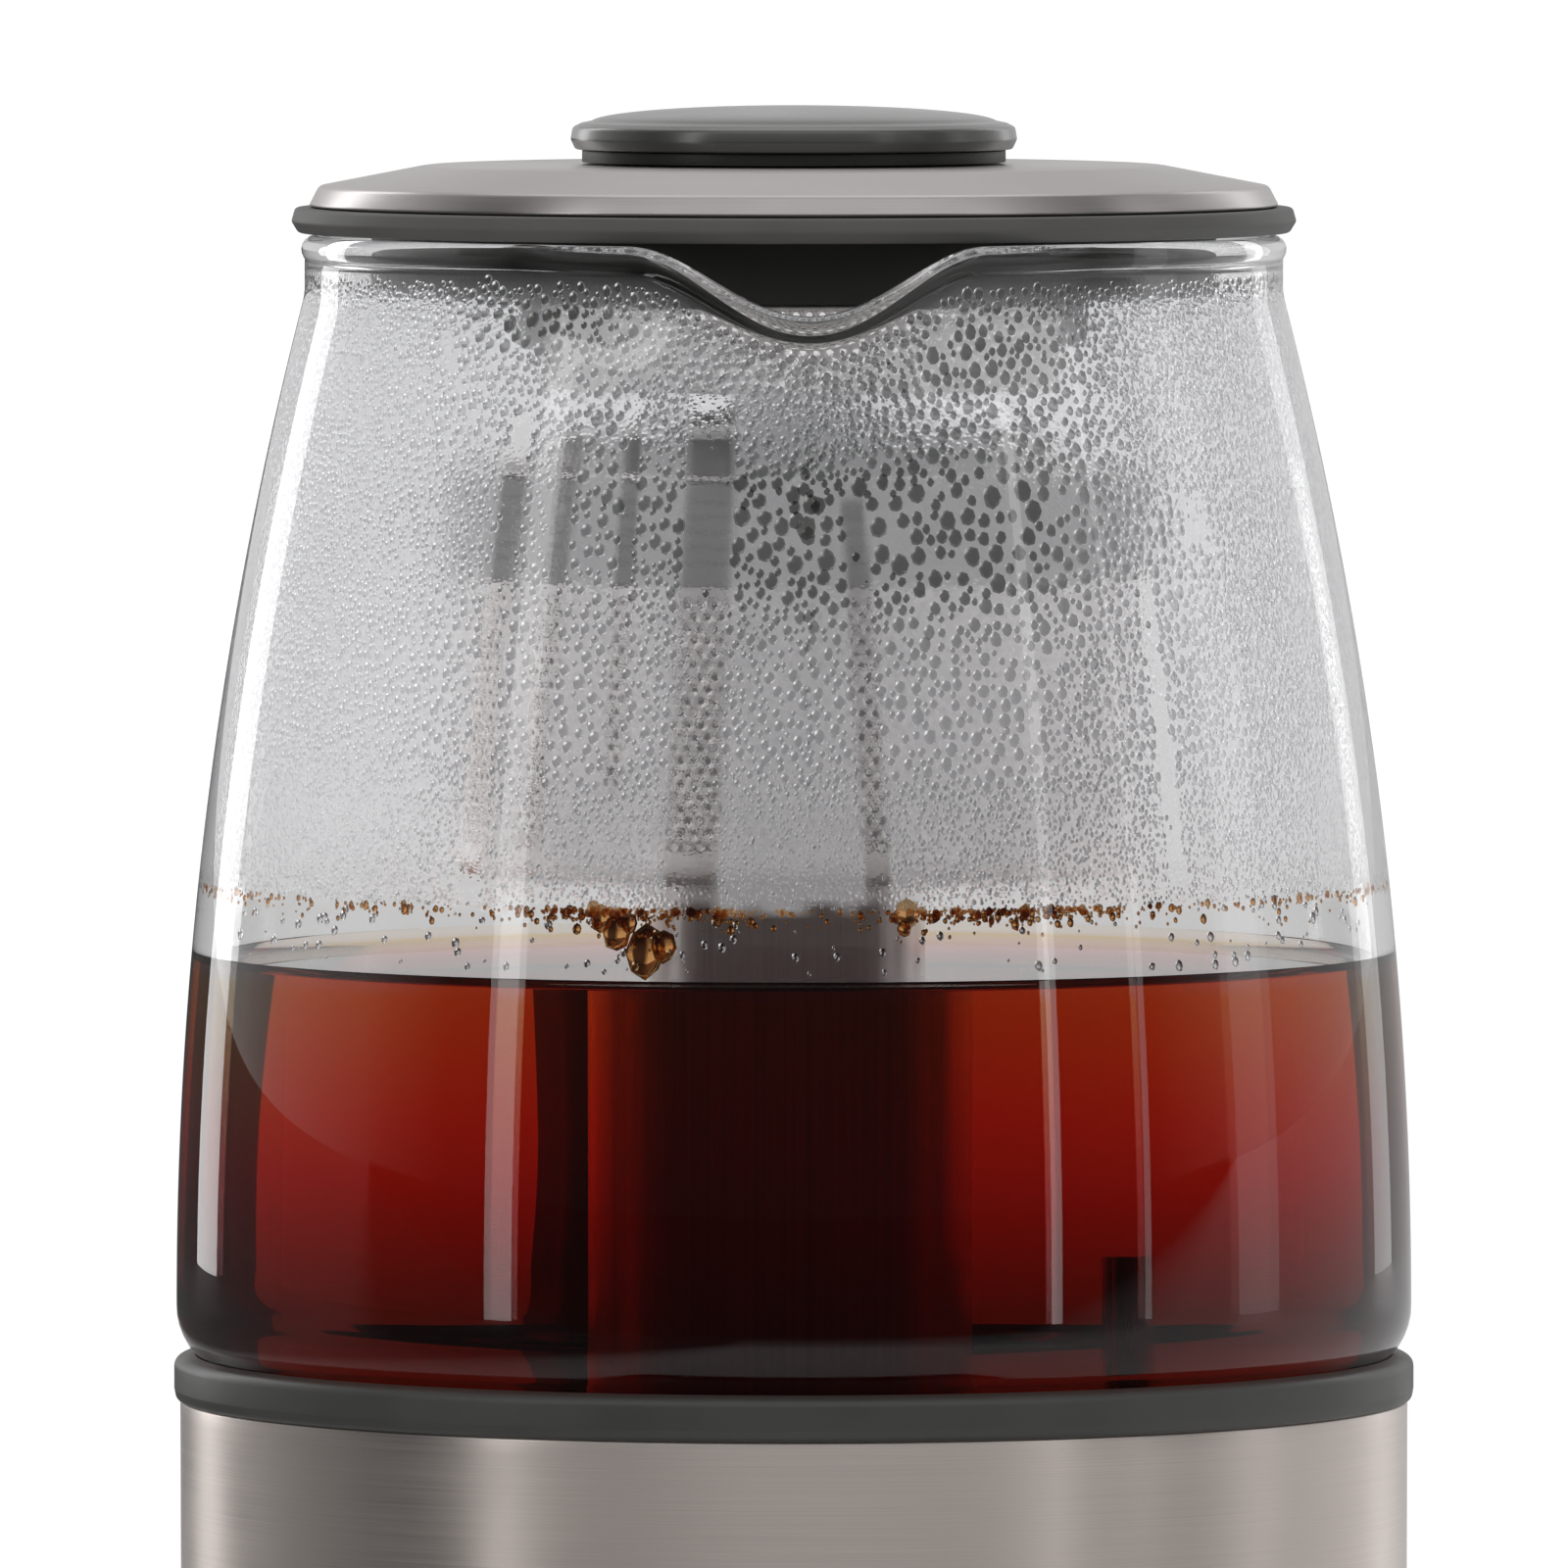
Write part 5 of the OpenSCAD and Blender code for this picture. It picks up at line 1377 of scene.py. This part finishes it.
def stage_world(stage):
    """White to the camera, pale grey through glass and in metal, plain light on the rest.

    Through glass the surroundings are palest along the sides, where the nearest of X and Y
    is over 0.95, a little darker between them and overhead, and dark in front, as in a room
    that is lit from behind the object.

    Reflections see a paler sky behind and above the object than in front of it, by the
    direction in the world.
    """
    world = bpy.data.worlds.new("studio")
    bpy.context.scene.world = world
    world.use_nodes = True
    tree = world.node_tree
    tree.nodes.clear()
    light = add_node(tree, "LightPath").outputs
    parts = add_node(tree, "SeparateXYZ", add_node(tree, "TexCoord").outputs["Generated"])
    x, y, z = parts.outputs
    side = spread(tree, y, stage.front_level, stage.back_level, -0.1, 0.65)
    rise = worked_out(tree, "MULTIPLY", spread(tree, y, 0.8, 0.0, -0.5, -0.1),
                      spread(tree, z, 0.0, 1.0, 0.2, 0.55))
    nearest = worked_out(tree, "MAXIMUM", *(worked_out(tree, "ABSOLUTE", p) for p in (x, y)))
    lobe = spread(tree, nearest, stage.glass_level * 0.7, stage.glass_level, 0.80, 0.95)
    levels = {
        "Is Glossy Ray": worked_out(tree, "ADD", side, rise),
        "Is Transmission Ray": worked_out(tree, "MULTIPLY", lobe,
                                          spread(tree, y, 0.05, 1.0, -0.3, 0.05)),
        "Is Camera Ray": 1.0,
    }
    white = (1, 1, 1, 1)
    seen = joined(tree, "Background", white, stage.fill_level)
    for ray, level in levels.items():
        seen = joined(tree, "MixShader", light[ray], seen,
                      joined(tree, "Background", white, level))
    add_node(tree, "OutputWorld", seen)


def stage_floor(stage):
    """A wide pale floor that keeps the object's shadow and is near white to the camera.

    It is a flat disc of rings of points, and turns plain white from 0.2 to 0.7 m away. In
    reflections it ends 1.2 m in front of the object and 0.2 m to its left, as a table in a
    dim room does, and light through glass finds it dark beside and in front of the object.
    """
    material, tree, shader, output = new_material("pale_floor")
    spot = place_nodes(tree)
    light = add_node(tree, "LightPath").outputs
    camera, glossy, passed = (
        light[f"Is {ray} Ray"] for ray in ("Camera", "Glossy", "Transmission"))
    set_inputs(shader, Roughness=0.7, Base_Color=tones(
        tree, noise(tree, spot, 14, 4), [(0.3, (0.80, 0.80, 0.80)), (0.7, (0.82, 0.82, 0.82))]))
    away = add_node(tree, "VectorMath", spot, operation="LENGTH").outputs["Value"]
    share = worked_out(tree, "MULTIPLY", worked_out(tree, "MAXIMUM", camera, passed),
                       spread(tree, away, 0.8, 1.0, 0.2, 0.7))
    glow = joined(tree, "Emission", (1, 1, 1, 1),
                  spread(tree, camera, stage.glass_level, 1.06, 0, 1))
    pale = joined(tree, "MixShader", share, shader.outputs["BSDF"], glow)
    x, y, _ = add_node(tree, "SeparateXYZ", spot).outputs
    mirrored = worked_out(tree, "SUBTRACT", glossy, passed)
    mirrored.node.use_clamp = True
    dim = worked_out(tree, "MULTIPLY", spread(tree, y, 0.0, 0.94, -0.5, -1.2), glossy)
    for edge, rays in ((spread(tree, y, 0.0, 0.94, 0.10, -0.15), passed),
                       (spread(tree, x, 0.0, 0.9, -0.10, -0.22), mirrored)):
        dim = worked_out(tree, "MAXIMUM", dim, worked_out(tree, "MULTIPLY", edge, rays))
    dark = joined(tree, "BsdfDiffuse", (0.02, 0.02, 0.02, 1))
    set_inputs(output, Surface=joined(tree, "MixShader", dim, pale, dark))
    rings = np.linspace(0.05, 1, 12) ** 3 * 60.0
    turn = np.arange(64) * TURN / 64
    grid = rings[:, None, None] * np.stack([np.cos(turn), np.sin(turn)], -1)[None]
    points = np.concatenate([grid.reshape(-1, 2), [[0, 0]]])
    points = np.column_stack([points, np.zeros(len(points))])
    mesh = bpy.data.meshes.new("floor")
    faces = [*grid_quads(12, 64)[:, ::-1].tolist(), *fan(np.arange(64), 12 * 64).tolist()]
    mesh.from_pydata(points.tolist(), [], faces)
    obj = bpy.data.objects.new("floor", mesh)
    bpy.context.collection.objects.link(obj)
    mesh.materials.append(material)


def build_stage(stage):
    """Floor, world, lamps, camera and the plain colour view."""
    stage_floor(stage)
    stage_world(stage)
    for lamp in (
            # name, azimuth, distance, height, width, tall, radiance
            ("overhead", 180, 0.35, 1.55, 1.5, 1.1, stage.overhead),
            ("left_strip", -57, 1.5, 0.55, 0.16, 1.3, stage.strips),
            ("left_rim", -142, 1.5, 0.55, 0.34, 1.3, stage.strips * 0.85),
            ("right_strip", 47, 1.5, 0.5, 0.06, 1.2, stage.strips),
            ("right_thin_strip", 66, 1.5, 0.5, 0.04, 1.2, stage.strips * 0.6),
            ("right_softbox", 93, 1.4, 0.55, 0.30, 1.2, stage.strips * 0.22),
            ("right_rim", 140, 1.5, 0.55, 0.30, 1.3, stage.strips * 0.35)):
        softbox(*lamp)
    lens = bpy.data.cameras.new("camera")
    lens.lens = stage.lens
    lens.sensor_width = 36.0
    lens.clip_end = 200.0
    camera = bpy.data.objects.new("camera", lens)
    bpy.context.collection.objects.link(camera)
    turn = math.radians(1.65)
    camera.location = (-3.2 * math.sin(turn), -3.2 * math.cos(turn), 0.308)
    aim(camera, (-0.0013, 0, 0.159))
    scene = bpy.context.scene
    scene.camera = camera
    scene.view_settings.view_transform = "Standard"
    for key, value in {
            "max_bounces": 28, "transmission_bounces": 26, "transparent_max_bounces": 40,
            "glossy_bounces": 8, "diffuse_bounces": 4, "caustics_reflective": False,
            "caustics_refractive": True, "sample_clamp_indirect": 3.0,
            "use_denoising": True}.items():
        setattr(scene.cycles, key, value)


# ---------------------------------------------------------------- sizes and colours

def a_length(name, text, value):
    """A length in metres that the user may change."""
    return FloatProperty(name=name, description=text, default=value, unit="LENGTH")


def a_factor(name, text, value, subtype="FACTOR"):
    """A plain number that the user may change."""
    return FloatProperty(name=name, description=text, default=value, subtype=subtype)


def a_count(name, text, value):
    """A whole number that the user may change."""
    return IntProperty(name=name, description=text, default=value, subtype="UNSIGNED")


def a_colour(name, text, value):
    """A colour that the user may change."""
    return FloatVectorProperty(name=name, description=text, default=value, subtype="COLOR",
                               size=3)


class TeaMakerSizes(PropertyGroup):
    """Sizes that the CAD frame doesn't fix."""

    neck_radius: a_length("Neck radius", "Outside radius of the glass at its neck", 0.0643)
    glass_wall: a_length("Glass wall", "Thickness of the glass wall", 0.0028)
    lip_depth: a_length("Lip depth", "Depth of the pouring lip's dip below the rim", 0.0088)
    lip_half_width: a_length("Lip half width", "Half width of the dip at the rim", 0.0222)
    lip_reach: a_length("Lip reach", "Reach of the lip out of the plain wall", 0.0085)
    glass_columns: a_count("Glass columns", "Points of the glass mesh round the jug", 320)
    glass_rows: a_count("Glass rows", "Points of the glass mesh up one side of the wall", 110)
    tea_level: a_length("Tea level", "Height of the tea's surface above the table", 0.1354)
    hole_pitch: a_length("Hole pitch", "Distance between the basket's fine holes", 0.0018)
    hole_radius: a_length("Hole radius", "Radius of the basket's fine holes", 0.00046)
    key_width: a_length("Key width", "Width of every key", 0.008)
    front_fineness: a_factor("Front drops", "Scale of the condensed drops on the lip's side", 1.0)
    back_fineness: a_factor("Back drops", "Scale of the condensed drops on the handle's side",
                          1.35)


class TeaMakerColours(PropertyGroup):
    """Colours of the finishes."""

    steel: a_colour("Steel", "Brushed steel", (0.60, 0.57, 0.56))
    grey: a_colour("Grey plastic", "Knob, ring and clamp", (0.062, 0.062, 0.058))
    black: a_colour("Black plastic", "Handle, floor and bezel", (0.022, 0.022, 0.023))
    silicone: a_colour("Silicone", "Lid seal and basket collar", (0.11, 0.107, 0.104))
    tea: a_colour("Tea", "Colour that the tea lets through", (0.80, 0.36, 0.10))
    tea_density: a_factor("Tea strength", "Density of the tea's colour", 35.0)
    board: a_colour("Board", "Circuit boards", (0.02, 0.13, 0.06))
    display: a_colour("Display", "Lit segments of the display", (0.75, 0.9, 1.0))


class TeaMakerStage(PropertyGroup):
    """Levels of light and the lens."""

    overhead: a_factor("Overhead", "Radiance of the overhead softbox", 0.75)
    strips: a_factor("Strips", "Radiance of the upright softboxes", 2.4)
    fill_level: a_factor("Fill", "Light of the surroundings on the object", 0.55)
    front_level: a_factor("Front", "Reflected surroundings on the lip's side", 0.06)
    back_level: a_factor("Back", "Reflected surroundings on the handle's side", 0.62)
    glass_level: a_factor("Through glass", "Surroundings as seen through the glass", 0.62)
    lens: a_factor("Lens", "Focal length in millimetres", 559.0, "DISTANCE_CAMERA")


# ---------------------------------------------------------------- operators and panel

def settings():
    """Sizes, colours and stage of the current scene."""
    scene = bpy.context.scene
    return scene.tea_sizes, scene.tea_colours, scene.tea_stage


class TEA_OT_finishes(Operator):
    """Make the finishes and give them to the CAD pieces that stay"""

    bl_idname = "tea.finishes"
    bl_label = "Finishes"

    def execute(self, context):
        sizes, colours, _ = settings()
        make_materials(colours, sizes.tea_level)
        finish_nodes()
        return {"FINISHED"}


class TEA_OT_glass(Operator):
    """Build the jug's glass wall with its pouring lip"""

    bl_idname = "tea.glass"
    bl_label = "Jug glass"

    def execute(self, context):
        build_glass(settings()[0])
        return {"FINISHED"}


class TEA_OT_tea(Operator):
    """Fill the jug with tea"""

    bl_idname = "tea.tea"
    bl_label = "Tea"

    def execute(self, context):
        build_tea(settings()[0])
        return {"FINISHED"}


class TEA_OT_condensation(Operator):
    """Lay the condensed drops on the inner wall of the glass"""

    bl_idname = "tea.condensation"
    bl_label = "Condensation"

    def execute(self, context):
        size = settings()[0]
        for name, reach, fineness, seed in (
                ("drops_front_left", (-92, 0), size.front_fineness, 11),
                ("drops_front_right", (0, 92), size.front_fineness, 12),
                ("drops_back_left", (-232, -92), size.back_fineness, 13),
                ("drops_back_right", (92, 232), size.back_fineness, 14)):
            place, radii = drop_places(reach, seed, fineness)
            drops_on_wall(name, place, radii, size, "water", seed)
        build_beads(size)
        build_residue(size)
        return {"FINISHED"}


class TEA_OT_basket(Operator):
    """Build the perforated basket, its collar and its lid"""

    bl_idname = "tea.basket"
    bl_label = "Basket"

    def execute(self, context):
        build_basket(settings()[0])
        build_basket_trim()
        return {"FINISHED"}


class TEA_OT_lid(Operator):
    """Build the jug's lid with its seal, knob and strainer"""

    bl_idname = "tea.lid"
    bl_label = "Lid"

    def execute(self, context):
        build_lid()
        build_strainer(settings()[0])
        return {"FINISHED"}


class TEA_OT_rings(Operator):
    """Build the plastic ring under the glass and the steel skirt"""

    bl_idname = "tea.rings"
    bl_label = "Ring and skirt"

    def execute(self, context):
        build_rings()
        return {"FINISHED"}


class TEA_OT_handle(Operator):
    """Build the handle, its grip and its bracket"""

    bl_idname = "tea.handle"
    bl_label = "Handle"

    def execute(self, context):
        build_handle()
        return {"FINISHED"}


class TEA_OT_base(Operator):
    """Build the power base"""

    bl_idname = "tea.base"
    bl_label = "Power base"

    def execute(self, context):
        build_base()
        return {"FINISHED"}


class TEA_OT_panel_parts(Operator):
    """Build the keys, their marks and the display's numbers"""

    bl_idname = "tea.panel_parts"
    bl_label = "Keys and display"

    def execute(self, context):
        build_keys(settings()[0])
        build_display()
        return {"FINISHED"}


class TEA_OT_stage(Operator):
    """Set the floor, the lamps and the camera"""

    bl_idname = "tea.stage"
    bl_label = "Stage"

    def execute(self, context):
        build_stage(settings()[2])
        return {"FINISHED"}


STEPS = ("finishes", "glass", "tea", "condensation", "basket", "lid", "rings", "handle",
         "base", "panel_parts", "stage")


class TEA_PT_maker(Panel):
    """Lists the tea maker's sizes, colours and steps"""

    bl_idname = "TEA_PT_maker"
    bl_label = "Tea maker"
    bl_space_type = "VIEW_3D"
    bl_region_type = "UI"
    bl_category = "Tea maker"

    def draw(self, context):
        for step in STEPS:
            self.layout.operator("tea." + step)
        for group in settings():
            box = self.layout.box()
            for name in group.bl_rna.properties.keys():
                if name not in ("rna_type", "name"):
                    box.prop(group, name)


CLASSES = (
    TeaMakerSizes, TeaMakerColours, TeaMakerStage, TEA_OT_finishes, TEA_OT_glass, TEA_OT_tea,
    TEA_OT_condensation, TEA_OT_basket, TEA_OT_lid, TEA_OT_rings, TEA_OT_handle, TEA_OT_base,
    TEA_OT_panel_parts, TEA_OT_stage, TEA_PT_maker,
)


def register():
    """Adds the classes, and the sizes, colours and stage to every scene."""
    for item in CLASSES:
        bpy.utils.register_class(item)
    bpy.types.Scene.tea_sizes = PointerProperty(type=TeaMakerSizes)
    bpy.types.Scene.tea_colours = PointerProperty(type=TeaMakerColours)
    bpy.types.Scene.tea_stage = PointerProperty(type=TeaMakerStage)


def unregister():
    """Takes away what register added."""
    for name in ("tea_sizes", "tea_colours", "tea_stage"):
        delattr(bpy.types.Scene, name)
    for item in reversed(CLASSES):
        bpy.utils.unregister_class(item)


def main():
    """Builds everything in order."""
    register()
    for step in STEPS:
        getattr(bpy.ops.tea, step)()


if __name__ == "__main__":
    main()
